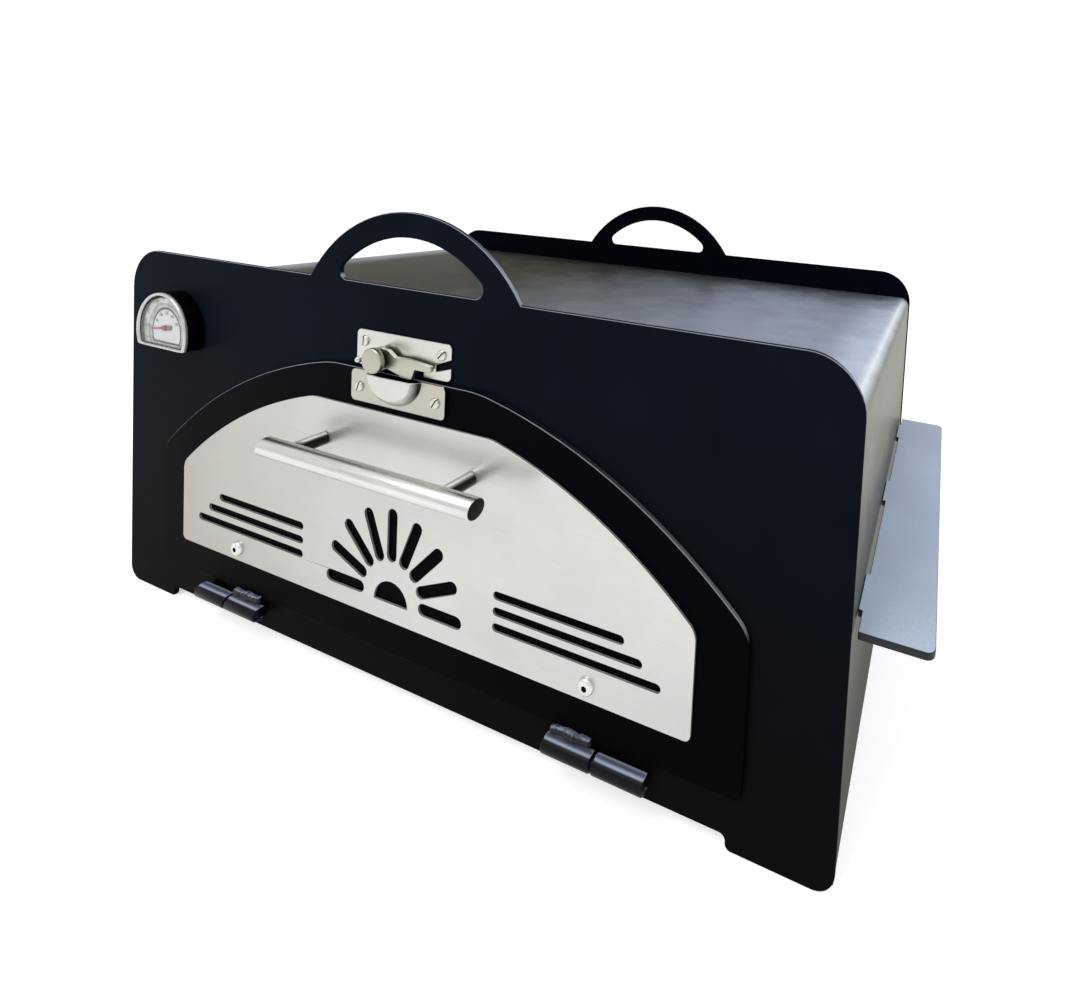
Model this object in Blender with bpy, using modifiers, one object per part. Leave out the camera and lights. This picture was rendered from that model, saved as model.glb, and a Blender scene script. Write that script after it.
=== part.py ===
"""Grill-top pizza oven: two laser-cut end plates with carry arches, a wrapped sheet shell, a
drop-down arched door with a stainless facing, a bar handle and a turn latch, a recessed dial
thermometer, and a baking stone on a slotted deck.

Metres. X runs across the front, Y runs from the front plate to the back plate, Z is up.
Pieces are built from the middle of the front plate's outer face and the table that the feet
stand on. One empty then carries everything to the middle of the oven's footprint."""

import math

import bmesh
import bpy
from mathutils import Matrix, Vector

# Clearance left between pieces that touch, and the extra length of every cutter
GAP = 0.0003
OVERRUN = 0.004
WELD_DISTANCE = 0.000001
MERGE_DISTANCE = 0.00001

# End plates, one outline for front and back
PLATE_WIDTH = 0.600
PLATE_HEIGHT = 0.277
PLATE_THICKNESS = 0.003
PLATE_TOP_RADIUS = 0.0315
PLATE_BOTTOM_RADIUS = 0.012
OVEN_DEPTH = 0.309
FOOT_WIDTH = 0.060
FOOT_HEIGHT = 0.0082
FOOT_RADIUS = 0.0036

# Carry arches cut in one piece with the end plates
CARRY_RISE = 0.0498
CARRY_RADIUS = 0.1078
CARRY_BAND = 0.0167
CARRY_CORNER = 0.006

# Wrapped shell
SHELL_THICKNESS = 0.0015
SHELL_SIDE_INSET = 0.001
SHELL_TOP_DROP = 0.0252
SHELL_BOTTOM = 0.003
SHELL_BEND = 0.008

# Shelf on the right side
SHELF_REACH = 0.0405
SHELF_END_MARGIN = 0.014
SHELF_THICKNESS = 0.0045
SHELF_TOP = 0.130
SHELF_CORNER = 0.005
SHELF_STANDOFF = 0.0025
SHELF_TAB = 0.030

# Deck, its rails and the baking stone
RAIL_LEG = 0.020
RAIL_THICKNESS = 0.002
RAIL_END_GAP = 0.007
DECK_THICKNESS = 0.002
STONE_SIDE_MARGIN = 0.1175
STONE_END_MARGIN = 0.0115
STONE_THICKNESS = 0.013
STONE_CORNER = 0.012
STONE_EDGE = 0.0015
STONE_BELOW_SILL = 0.0004
DECK_SLOT_WIDTH = 0.012
DECK_SLOT_WEB = 0.014
DECK_SLOT_END_MARGIN = 0.0295
DECK_SLOT_ROWS = 3
DECK_SLOT_COLUMNS = 2
DECK_SLOT_SPACING = 0.040

# Door
DOOR_SIDE_MARGIN = 0.051
DOOR_BOTTOM = 0.033
DOOR_BELOW_PLATE_TOP = 0.0564
DOOR_THICKNESS = 0.003
DOOR_ARCH_RISE = 0.1024
DOOR_CROWN_CUT = 0.0057
DOOR_CROWN_ROUND = 0.090
DOOR_SHOULDER = 0.024
DOOR_CORNER = 0.005
DOOR_OVERLAP = 0.012

# Stainless facing on the door
FACING_SIDE_MARGIN = 0.030
FACING_FOOT_MARGIN = 0.024
FACING_TOP_MARGIN = 0.0258
FACING_THICKNESS = 0.0015
FACING_ARCH_RISE = 0.0861
FACING_CROWN_CUT = 0.0095
FACING_CROWN_ROUND = 0.035
FACING_SHOULDER = 0.012
FACING_CORNER = 0.004
VENT_SLOT_HEIGHT = 0.0056
VENT_SLOT_PITCH = 0.0100
VENT_SLOT_ROWS = 3
VENT_SLOT_LIFT = 0.0230
VENT_SLOT_INNER = 0.084
VENT_SLOT_SIDE_MARGIN = 0.019
VENT_SLOT_STEP = 0.012
FAN_LIFT = 0.012
FAN_CORE_RADIUS = 0.015
FAN_SLOT_INNER = 0.024
FAN_SLOT_OUTER = 0.060
FAN_SLOT_WIDTH = 0.0085
FAN_SLOT_COUNT = 9

# Screws that hold the facing, with nuts inside the door
FACING_SCREW_SPREAD = 0.306
FACING_SCREW_LIFT = 0.0095
M6_SHANK = 0.0030
M6_HEAD = 0.00525
M6_HEAD_HEIGHT = 0.0033
M6_SOCKET = 0.0020
M6_SOCKET_DEPTH = 0.0018
M6_NUT_ACROSS_FLATS = 0.010
M6_NUT_HEIGHT = 0.005
HOLE_CLEARANCE = 0.0003

# Bar handle
BAR_RADIUS = 0.006
BAR_LENGTH = 0.188
BAR_CHAMFER = 0.0006
BAR_STANDOFF = 0.0224
BAR_BELOW_FACING_TOP = 0.0268
POST_SPACING = 0.128
POST_RADIUS = 0.0045
M4_SHANK = 0.0020
M4_HEAD = 0.0040
M4_HEAD_HEIGHT = 0.0026
M4_REACH = 0.007

# Weld-on barrel hinges under the door
HINGE_SIDE_MARGIN = 0.0885
HINGE_BELOW_DOOR = 0.0095
KNUCKLE_RADIUS = 0.0050
KNUCKLE_LENGTH = 0.033
KNUCKLE_GAP = 0.0015
KNUCKLE_CHAMFER = 0.0006
HINGE_PIN_RADIUS = 0.0030
HINGE_PIN_SETBACK = 0.0006
BEAD_RADIUS = 0.0027
BEAD_TALL_SHARE = 1.5
BEAD_RIPPLE = 0.0004
BEAD_RISE = 0.0028
BEAD_INSET = 0.003
BEAD_POINTS = 12

# Turn latch on the front plate
LATCH_WIDTH = 0.082
LATCH_RISE = 0.0240
LATCH_THICKNESS = 0.0016
LATCH_CORNER = 0.0035
LATCH_ABOVE_DOOR = 0.0017
LATCH_EAR_WIDTH = 0.0064
LATCH_BLOCK_WIDTH = 0.0225
LATCH_STEP_RISE = 0.0035
LATCH_STEP_CORNER = 0.0010
LATCH_SLOT_DEPTH = 0.0125
LATCH_SLOT_TIP_LOW = 0.0053
LATCH_SLOT_TIP_TOP = 0.0095
LATCH_SLOT_MOUTH_LOW = 0.0088
LATCH_SLOT_MOUTH_TOP = 0.0144
LATCH_SCREW_SPREAD = 0.067
LATCH_SCREW_RISE = 0.0165
PIVOT_OFFSET = -0.014
PIVOT_RISE = 0.0083
KNOB_RADIUS = 0.0083
KNOB_THICKNESS = 0.0038
KNOB_FRONT = 0.0123
KNOB_EDGE = 0.0008
KNOB_NECK = 0.0045
LEVER_BOSS = 0.0078
JOURNAL_RADIUS = 0.0030
LEVER_THICKNESS = 0.0024
ARM_LOBE = 0.0072
ARM_LOBE_RISE = 0.0070
ARM_NECK_END = 0.0134
ARM_TOP_RISE = 0.0044
ARM_CREST = 0.0232
ARM_CREST_RISE = 0.0052
ARM_NECK_FOOT = -0.0054
ARM_BELLY_RISE = -0.0083
BAR_ROOT_BOTTOM_RISE = -0.0027
BAR_END_TOP_RISE = 0.0030
BAR_END_BOTTOM_RISE = -0.0025
ARM_SHOULDER = 0.0335
ARM_END = 0.0436
TONGUE_LEFT = 0.0175
TONGUE_RIGHT = 0.0279
TONGUE_ROOT = 0.0300
TONGUE_LIFT = 0.00035
LATCH_NUT_ACROSS_FLATS = 0.0080
LATCH_NUT_HEIGHT = 0.0032
WASHER_RADIUS = 0.0060
WASHER_THICKNESS = 0.0010
RIVET_RADIUS = 0.0022
RIVET_HEIGHT = 0.0026
RIVET_INSET = 0.0032

# Keeper on the door
KEEPER_WIDTH = 0.0815
KEEPER_RISE = 0.0214
KEEPER_BELOW_DOOR_TOP = 0.0002
KEEPER_THICKNESS = 0.0015
KEEPER_CORNER = 0.0035
KEEPER_SCREW_SPREAD = 0.066
KEEPER_SCREW_RISE = 0.010
POCKET_HALF_WIDTH = 0.0195
POCKET_DROP = 0.0173
POCKET_DEPTH = 0.0046
POCKET_WALL = 0.0011

# Slotted screws of the latch and the keeper, and the angle that each slot was left at
TRIM_HEAD = 0.0036
TRIM_HEAD_HEIGHT = 0.0011
TRIM_SHANK = 0.0015
TRIM_SLOT = 0.0009
TRIM_SLOT_DEPTH = 0.0006
LATCH_SCREW_TURNS = (math.radians(86), math.radians(46))
KEEPER_SCREW_TURNS = (math.radians(69), math.radians(57))

# Thermometer
GAUGE_SIDE_MARGIN = 0.0635
GAUGE_BELOW_PLATE_TOP = 0.0560
GAUGE_PIVOT_RISE = 0.0027
GAUGE_RADIUS = 0.0304
GAUGE_FLAT_DROP = 0.0124
GAUGE_CORNER = 0.009
GAUGE_DEPTH = 0.0117
GAUGE_RIM = 0.0024
DIAL_RADIUS = 0.0185
DIAL_FLAT_DROP = 0.0097
DIAL_CORNER = 0.005
DIAL_FLOOR = 0.0068
DIAL_THICKNESS = 0.0006
GLASS_THICKNESS = 0.0010
GLASS_SETBACK = 0.0009
NEEDLE_LENGTH = 0.0175
NEEDLE_FRONT = 0.0047
NEEDLE_TAIL = 0.0085
NEEDLE_SHAFT = 0.0012
NEEDLE_WIDTH = 0.0036
NEEDLE_THICKNESS = 0.0005
NEEDLE_REST_LEAN = math.radians(-7.5)
SPINDLE_RADIUS = 0.0008
SPINDLE_REACH = 0.012
STEM_RADIUS = 0.0030
STEM_LENGTH = 0.045
STEM_WALL = 0.0008
STEM_NUT_ACROSS_FLATS = 0.010
STEM_NUT_HEIGHT = 0.004

# Smoothness of round work, as counts
ARC_STEPS = 6
PLATE_CORNER_STEPS = 12
LONG_ARC_STEPS = 14
CARRY_STEPS = 26
HOLE_STEPS = 14
ROUND_STEPS = 24
SMALL_ROUND_STEPS = 16
SHARP_ANGLE = math.radians(40)
STRAIGHT_ANGLE = math.radians(179.9)

# Turns that stand a flat outline up, and that lay a turned piece along X or towards the front
UPRIGHT = (math.pi / 2, 0, 0)
ALONG_X = (0, math.pi / 2, 0)
TO_FRONT = (math.pi / 2, 0, 0)
TO_BACK = (-math.pi / 2, 0, 0)

# Places worked out from the sizes above
HALF_WIDTH = PLATE_WIDTH / 2
BACK_PLATE_FRONT = OVEN_DEPTH - PLATE_THICKNESS
INNER_DEPTH = BACK_PLATE_FRONT - PLATE_THICKNESS
SHELL_TOP = PLATE_HEIGHT - SHELL_TOP_DROP
SHELL_HALF_WIDTH = HALF_WIDTH - SHELL_SIDE_INSET
SHELL_INNER = SHELL_HALF_WIDTH - SHELL_THICKNESS
SHELF_LENGTH = OVEN_DEPTH - 2 * SHELF_END_MARGIN
DOOR_HALF_WIDTH = HALF_WIDTH - DOOR_SIDE_MARGIN
DOOR_TOP = PLATE_HEIGHT - DOOR_BELOW_PLATE_TOP
DOOR_BACK = -GAP
DOOR_FRONT = DOOR_BACK - DOOR_THICKNESS
DOOR_ARCH_RADIUS = (DOOR_HALF_WIDTH**2 + DOOR_ARCH_RISE**2) / (2 * DOOR_ARCH_RISE)
DOOR_ARCH_CENTRE = DOOR_TOP + DOOR_CROWN_CUT - DOOR_ARCH_RADIUS
SILL = DOOR_BOTTOM + DOOR_OVERLAP
FACING_HALF_WIDTH = DOOR_HALF_WIDTH - FACING_SIDE_MARGIN
FACING_BOTTOM = DOOR_BOTTOM + FACING_FOOT_MARGIN
FACING_TOP = DOOR_TOP - FACING_TOP_MARGIN
FACING_BACK = DOOR_FRONT - GAP
FACING_FRONT = FACING_BACK - FACING_THICKNESS
FACING_ARCH_RADIUS = (FACING_HALF_WIDTH**2 + FACING_ARCH_RISE**2) / (2 * FACING_ARCH_RISE)
FACING_ARCH_CENTRE = FACING_TOP + FACING_CROWN_CUT - FACING_ARCH_RADIUS
FACING_SCREW_HEIGHT = FACING_BOTTOM + FACING_SCREW_LIFT
VENT_SLOT_LOWEST = FACING_BOTTOM + VENT_SLOT_LIFT
VENT_SLOT_OUTER = FACING_HALF_WIDTH - VENT_SLOT_SIDE_MARGIN
FAN_CENTRE_HEIGHT = FACING_BOTTOM + FAN_LIFT
HINGE_Y = -GAP - KNUCKLE_RADIUS
HINGE_MIDDLE = DOOR_HALF_WIDTH - HINGE_SIDE_MARGIN
HINGE_HEIGHT = DOOR_BOTTOM - HINGE_BELOW_DOOR
BAR_Y = FACING_FRONT - BAR_STANDOFF
BAR_HEIGHT = FACING_TOP - BAR_BELOW_FACING_TOP
STONE_WIDTH = 2 * (SHELL_INNER - STONE_SIDE_MARGIN)
STONE_DEPTH = INNER_DEPTH - 2 * STONE_END_MARGIN
STONE_TOP = SILL - STONE_BELOW_SILL
DECK_TOP = STONE_TOP - STONE_THICKNESS - GAP
DECK_SLOT_PITCH = (INNER_DEPTH - 2 * DECK_SLOT_END_MARGIN + DECK_SLOT_WEB) / DECK_SLOT_ROWS
DECK_SLOT_LENGTH = DECK_SLOT_PITCH - DECK_SLOT_WEB
RAIL_TOP = DECK_TOP - DECK_THICKNESS - GAP
LATCH_LOW = DOOR_TOP + LATCH_ABOVE_DOOR
LATCH_FRONT = -GAP - LATCH_THICKNESS
PIVOT_Z = LATCH_LOW + PIVOT_RISE
KEEPER_TOP = DOOR_TOP - KEEPER_BELOW_DOOR_TOP
KEEPER_BOTTOM = KEEPER_TOP - KEEPER_RISE
KEEPER_BACK = DOOR_FRONT - GAP
KEEPER_FRONT = KEEPER_BACK - KEEPER_THICKNESS
LEVER_BACK = DOOR_FRONT - 2 * GAP
LEVER_FRONT = LEVER_BACK - LEVER_THICKNESS
GAUGE_X = GAUGE_SIDE_MARGIN - HALF_WIDTH
GAUGE_HEIGHT = PLATE_HEIGHT - GAUGE_BELOW_PLATE_TOP
GAUGE_FRONT = -GAP - GAUGE_DEPTH
DIAL_SEAT = -GAP - DIAL_FLOOR


def clear_scene():
    for obj in list(bpy.data.objects):
        bpy.data.objects.remove(obj, do_unlink=True)


def new_collection(name):
    collection = bpy.data.collections.new(name)
    bpy.context.scene.collection.children.link(collection)
    return collection


def finish_of(name, colour, roughness, metallic):
    """A plain surface: colour as red, green and blue shares."""
    finish = bpy.data.materials.new(name)
    finish.use_nodes = True
    shader = finish.node_tree.nodes["Principled BSDF"]
    shader.inputs["Base Color"].default_value = (*colour, 1)
    shader.inputs["Roughness"].default_value = roughness
    shader.inputs["Metallic"].default_value = metallic
    finish.diffuse_color = (*colour, 1)
    return finish


def empty_at(name, place, on=None):
    empty = bpy.data.objects.new(name, None)
    empty.empty_display_size = GAUGE_RADIUS
    PARTS.objects.link(empty)
    empty.parent = on
    empty.location = place
    return empty


def put(obj, place, turn=(0, 0, 0), on=None):
    """Stands an object at a place that is measured from the front plate, under its carrier."""
    carrier = on or OVEN
    obj.parent = carrier
    obj.location = Vector(place) - (carrier.location if on else Vector((0, 0, 0)))
    obj.rotation_euler = turn
    return obj


def arc(centre, radius, start, end, steps):
    """Points round a centre from one angle to another, both ends included."""
    return [
        (
            centre[0] + radius * math.cos(start + (end - start) * i / steps),
            centre[1] + radius * math.sin(start + (end - start) * i / steps),
        )
        for i in range(steps + 1)
    ]


def circle(centre, radius, steps=HOLE_STEPS):
    return arc(centre, radius, 0, 2 * math.pi, steps)[:-1]


def hexagon(centre, across_flats):
    return circle(centre, across_flats / math.sqrt(3), 6)


def rounded(corners, steps=ARC_STEPS):
    """A closed outline from corners of (x, y, radius). Each fillet is limited by its walls."""
    points = []
    for i, (x, y, radius) in enumerate(corners):
        here = Vector((x, y))
        before = Vector(corners[i - 1][:2]) - here
        after = Vector(corners[(i + 1) % len(corners)][:2]) - here
        turn = before.angle(after)
        if not radius or turn > STRAIGHT_ANGLE:
            points.append((x, y))
            continue
        reach = min(radius / math.tan(turn / 2), before.length / 2, after.length / 2)
        middle = here + (before.normalized() + after.normalized()).normalized() * (
            reach / math.cos(turn / 2)
        )
        first = here + before.normalized() * reach - middle
        sweep = first.angle_signed(here + after.normalized() * reach - middle)
        start = math.atan2(first.y, first.x)
        points += arc(middle, first.length, start, start - sweep, steps)
    return points


def slot(centre, length, width, angle=0, steps=ARC_STEPS):
    """A round-ended slot with its long side at an angle."""
    half = (length - width) / 2
    ahead = (centre[0] + half * math.cos(angle), centre[1] + half * math.sin(angle))
    behind = (centre[0] - half * math.cos(angle), centre[1] - half * math.sin(angle))
    quarter = math.pi / 2
    return arc(ahead, width / 2, angle - quarter, angle + quarter, steps) + arc(
        behind, width / 2, angle + quarter, angle + 3 * quarter, steps
    )


def flat_piece(name, loops, thickness, finish, place, turn=UPRIGHT, on=None):
    """A sheet piece: the first loop is its outline and the others are holes."""
    curve = bpy.data.curves.new(name, "CURVE")
    curve.dimensions = "2D"
    curve.fill_mode = "BOTH"
    curve.extrude = thickness / 2
    for loop in loops:
        spline = curve.splines.new("POLY")
        spline.points.add(len(loop) - 1)
        for point, (u, v) in zip(spline.points, loop):
            point.co = (u, v, 0, 1)
        spline.use_cyclic_u = True
    curve.materials.append(finish)
    obj = bpy.data.objects.new(name, curve)
    PARTS.objects.link(obj)
    return put(obj, place, turn, on)


def as_mesh(obj, smooth=False):
    """Replaces a curve or an object with modifiers by its own mesh, welded and facing out."""
    bpy.context.view_layer.update()
    graph = bpy.context.evaluated_depsgraph_get()
    name = obj.name
    mesh = bpy.data.meshes.new_from_object(obj.evaluated_get(graph))
    work = bmesh.new()
    work.from_mesh(mesh)
    bmesh.ops.remove_doubles(work, verts=work.verts, dist=WELD_DISTANCE)
    bmesh.ops.recalc_face_normals(work, faces=work.faces)
    work.to_mesh(mesh)
    work.free()
    if smooth:
        mesh.shade_smooth()
        mesh.set_sharp_from_angle(angle=SHARP_ANGLE)
    solid = bpy.data.objects.new(name + "_mesh", mesh)
    obj.users_collection[0].objects.link(solid)
    solid.parent = obj.parent
    solid.location = obj.location
    solid.rotation_euler = obj.rotation_euler
    bpy.data.objects.remove(obj, do_unlink=True)
    solid.name = name
    mesh.name = name
    return solid


def turned(name, profile, finish, place, turn, on=None, steps=ROUND_STEPS, ring=False):
    """A turned piece: (radius, height) points run out and down its outer side. A ring closes on
    itself, and any other profile starts and ends on the axis."""
    mesh = bpy.data.meshes.new(name)
    edges = [(i, i + 1) for i in range(len(profile) - 1)]
    if ring:
        edges.append((len(profile) - 1, 0))
    mesh.from_pydata([(r, 0, h) for r, h in profile], edges, [])
    mesh.materials.append(finish)
    obj = bpy.data.objects.new(name, mesh)
    PARTS.objects.link(obj)
    screw = obj.modifiers.new("turn", "SCREW")
    screw.axis = "Z"
    screw.steps = steps
    screw.render_steps = steps
    screw.use_merge_vertices = True
    screw.merge_threshold = MERGE_DISTANCE
    return as_mesh(put(obj, place, turn, on), smooth=True)


def as_cutter(obj):
    for collection in list(obj.users_collection):
        collection.objects.unlink(obj)
    CUTTERS.objects.link(obj)
    obj.hide_render = True
    obj.display_type = "WIRE"
    return obj


def boolean(obj, other, operation):
    modifier = obj.modifiers.new(operation.lower(), "BOOLEAN")
    modifier.operation = operation
    modifier.solver = "EXACT"
    modifier.object = as_cutter(other)


def carry_arch(centre_z, radius, base):
    """The arch's outer edge, from its right foot on the plate to its left foot."""
    lean = math.asin((base - centre_z) / radius)
    return arc((0, centre_z), radius, lean, math.pi - lean, CARRY_STEPS)


def carry_window(centre_z, radius, floor, corner):
    """The finger opening: an arch on a flat floor, with rounded lower corners."""
    side = math.sqrt((radius - corner) ** 2 - (floor + corner - centre_z) ** 2)
    lean = math.atan2(floor + corner - centre_z, side)
    right = arc((side, floor + corner), corner, -math.pi / 2, lean, ARC_STEPS)
    over = arc((0, centre_z), radius, lean, math.pi - lean, CARRY_STEPS)
    left = [(-x, z) for x, z in reversed(right)]
    return right + over[1:-1] + left


def plate_loops():
    """Outline and finger opening that both end plates share."""
    carry_centre = PLATE_HEIGHT + CARRY_RISE - CARRY_RADIUS
    foot = HALF_WIDTH - FOOT_WIDTH
    arch = carry_arch(carry_centre, CARRY_RADIUS, PLATE_HEIGHT)
    corners = [
        (-HALF_WIDTH, 0, PLATE_BOTTOM_RADIUS),
        (-foot, 0, FOOT_RADIUS),
        (-foot, FOOT_HEIGHT, FOOT_RADIUS),
        (foot, FOOT_HEIGHT, FOOT_RADIUS),
        (foot, 0, FOOT_RADIUS),
        (HALF_WIDTH, 0, PLATE_BOTTOM_RADIUS),
        (HALF_WIDTH, PLATE_HEIGHT, PLATE_TOP_RADIUS),
        *[(x, z, 0) for x, z in arch],
        (-HALF_WIDTH, PLATE_HEIGHT, PLATE_TOP_RADIUS),
    ]
    window = carry_window(
        carry_centre, CARRY_RADIUS - CARRY_BAND, PLATE_HEIGHT, CARRY_CORNER
    )
    return [rounded(corners, PLATE_CORNER_STEPS), window]


def arched_panel(half_width, bottom, top, radius, centre_z, shoulder, corner, crown_round):
    """A door-like outline: straight foot and sides, and a shallow arch that is cut flat at its
    top. The arch runs into the flat over a crown fillet."""
    fillet_x = half_width - shoulder
    fillet_z = centre_z + math.sqrt((radius - shoulder) ** 2 - fillet_x**2)
    lean = math.atan2(fillet_z - centre_z, fillet_x)
    crown_z = top - crown_round
    crown_x = math.sqrt((radius - crown_round) ** 2 - (crown_z - centre_z) ** 2)
    crown = math.atan2(crown_z - centre_z, crown_x)
    side = arc((fillet_x, fillet_z), shoulder, 0, lean, ARC_STEPS)
    side += arc((0, centre_z), radius, lean, crown, LONG_ARC_STEPS)[1:]
    side += arc((crown_x, crown_z), crown_round, crown, math.pi / 2, ARC_STEPS)[1:]
    foot = rounded(
        [
            (-half_width, fillet_z, 0),
            (-half_width, bottom, corner),
            (half_width, bottom, corner),
            (half_width, fillet_z, 0),
        ]
    )
    return foot[1:-1] + side + [(-x, z) for x, z in reversed(side)]


def build_front_plate():
    opening = arched_panel(
        DOOR_HALF_WIDTH - DOOR_OVERLAP,
        SILL,
        DOOR_TOP - DOOR_OVERLAP,
        DOOR_ARCH_RADIUS - DOOR_OVERLAP,
        DOOR_ARCH_CENTRE,
        DOOR_SHOULDER / 2,
        DOOR_CORNER,
        DOOR_CROWN_ROUND - DOOR_OVERLAP,
    )
    holes = [
        circle((PIVOT_OFFSET, PIVOT_Z), JOURNAL_RADIUS + HOLE_CLEARANCE),
        circle((GAUGE_X, GAUGE_HEIGHT), STEM_RADIUS + HOLE_CLEARANCE),
    ]
    for side in (-1, 1):
        place = (side * LATCH_SCREW_SPREAD / 2, LATCH_LOW + LATCH_SCREW_RISE)
        holes.append(circle(place, TRIM_SHANK + HOLE_CLEARANCE))
    loops = plate_loops() + [opening] + holes
    flat_piece(
        "front_plate", loops, PLATE_THICKNESS, BLACK, (0, PLATE_THICKNESS / 2, 0)
    )


def build_back_plate():
    middle = OVEN_DEPTH - PLATE_THICKNESS / 2
    flat_piece("back_plate", plate_loops(), PLATE_THICKNESS, BLACK, (0, middle, 0))


def build_shell():
    """One sheet bent over the top: left side, top and right side."""
    bend = SHELL_BEND
    outer = SHELL_HALF_WIDTH
    path = [(outer, SHELL_BOTTOM)]
    path += arc((outer - bend, SHELL_TOP - bend), bend, 0, math.pi / 2, ARC_STEPS)
    path += [(-x, z) for x, z in reversed(path)]
    front = PLATE_THICKNESS + GAP
    back = BACK_PLATE_FRONT - GAP
    work = bmesh.new()
    near = [work.verts.new((x, front, z)) for x, z in path]
    far = [work.verts.new((x, back, z)) for x, z in path]
    for i in range(len(path) - 1):
        work.faces.new((near[i], far[i], far[i + 1], near[i + 1]))
    mesh = bpy.data.meshes.new("shell")
    work.normal_update()
    work.to_mesh(mesh)
    work.free()
    mesh.materials.append(SHEET)
    mesh.shade_smooth()
    mesh.set_sharp_from_angle(angle=SHARP_ANGLE)
    shell = bpy.data.objects.new("shell", mesh)
    PARTS.objects.link(shell)
    wall = shell.modifiers.new("wall", "SOLIDIFY")
    wall.thickness = SHELL_THICKNESS
    wall.offset = -1 if mesh.polygons[0].normal.x > 0 else 1
    put(shell, (0, 0, 0))


def build_side_shelf():
    """A flat bar shelf, held off the side wall by three tabs that are welded to it."""
    wall = SHELL_HALF_WIDTH + GAP
    inner = SHELL_HALF_WIDTH + SHELF_STANDOFF
    outer = HALF_WIDTH + SHELF_REACH
    half = SHELF_LENGTH / 2
    corners = [(outer, -half, SHELF_CORNER), (outer, half, SHELF_CORNER), (inner, half, 0)]
    for centre in (half - SHELF_TAB, 0, SHELF_TAB - half):
        near = centre + SHELF_TAB / 2
        far = centre - SHELF_TAB / 2
        corners += [(inner, near, 0), (wall, near, 0), (wall, far, 0), (inner, far, 0)]
    corners.append((inner, -half, 0))
    place = (0, OVEN_DEPTH / 2, SHELF_TOP - SHELF_THICKNESS / 2)
    flat_piece("side_shelf", [rounded(corners)], SHELF_THICKNESS, SHELF, place, (0, 0, 0))


def build_rails():
    length = INNER_DEPTH - 2 * RAIL_END_GAP
    wall = SHELL_INNER - GAP
    for name, side in (("stone_rail_left", -1), ("stone_rail_right", 1)):
        angle = [
            (wall, RAIL_TOP),
            (wall, RAIL_TOP - RAIL_LEG),
            (wall - RAIL_THICKNESS, RAIL_TOP - RAIL_LEG),
            (wall - RAIL_THICKNESS, RAIL_TOP - RAIL_THICKNESS),
            (wall - RAIL_LEG, RAIL_TOP - RAIL_THICKNESS),
            (wall - RAIL_LEG, RAIL_TOP),
        ]
        loop = [(side * x, z) for x, z in angle]
        flat_piece(name, [loop], length, SHEET, (0, OVEN_DEPTH / 2, 0))


def build_deck():
    """The slotted deck plate: heat rises beside the stone through its slots."""
    half_x = SHELL_INNER - 2 * GAP
    half_y = INNER_DEPTH / 2 - 2 * GAP
    outline = [(-half_x, -half_y), (half_x, -half_y), (half_x, half_y), (-half_x, half_y)]
    loops = [outline]
    first = (STONE_WIDTH + half_x * 2) / 4 - DECK_SLOT_SPACING * (DECK_SLOT_COLUMNS - 1) / 2
    for side in (-1, 1):
        for column in range(DECK_SLOT_COLUMNS):
            for row in range(DECK_SLOT_ROWS):
                x = side * (first + DECK_SLOT_SPACING * column)
                y = DECK_SLOT_PITCH * (row - (DECK_SLOT_ROWS - 1) / 2)
                loops.append(slot((x, y), DECK_SLOT_LENGTH, DECK_SLOT_WIDTH, math.pi / 2))
    place = (0, OVEN_DEPTH / 2, DECK_TOP - DECK_THICKNESS / 2)
    flat_piece("deck_plate", loops, DECK_THICKNESS, SHEET, place, (0, 0, 0))


def build_stone():
    half_x = STONE_WIDTH / 2
    half_y = STONE_DEPTH / 2
    corners = [
        (-half_x, -half_y, STONE_CORNER),
        (half_x, -half_y, STONE_CORNER),
        (half_x, half_y, STONE_CORNER),
        (-half_x, half_y, STONE_CORNER),
    ]
    place = (0, OVEN_DEPTH / 2, STONE_TOP - STONE_THICKNESS / 2)
    stone = flat_piece(
        "pizza_stone", [rounded(corners)], STONE_THICKNESS, STONE, place, (0, 0, 0)
    )
    stone = as_mesh(stone)
    edge = stone.modifiers.new("edge", "BEVEL")
    edge.width = STONE_EDGE
    edge.segments = 2
    edge.limit_method = "ANGLE"


def build_door_panel():
    outline = arched_panel(
        DOOR_HALF_WIDTH,
        DOOR_BOTTOM,
        DOOR_TOP,
        DOOR_ARCH_RADIUS,
        DOOR_ARCH_CENTRE,
        DOOR_SHOULDER,
        DOOR_CORNER,
        DOOR_CROWN_ROUND,
    )
    loops = [outline]
    for side in (-1, 1):
        loops.append(
            circle(
                (side * FACING_SCREW_SPREAD / 2, FACING_SCREW_HEIGHT),
                M6_SHANK + HOLE_CLEARANCE,
            )
        )
        loops.append(circle((side * POST_SPACING / 2, BAR_HEIGHT), M4_SHANK + HOLE_CLEARANCE))
        loops.append(
            circle(
                (side * KEEPER_SCREW_SPREAD / 2, KEEPER_BOTTOM + KEEPER_SCREW_RISE),
                TRIM_SHANK + HOLE_CLEARANCE,
            )
        )
    middle = (DOOR_BACK + DOOR_FRONT) / 2
    flat_piece("door_panel", loops, DOOR_THICKNESS, BLACK, (0, middle, 0), on=DOOR_AXIS)


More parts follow.
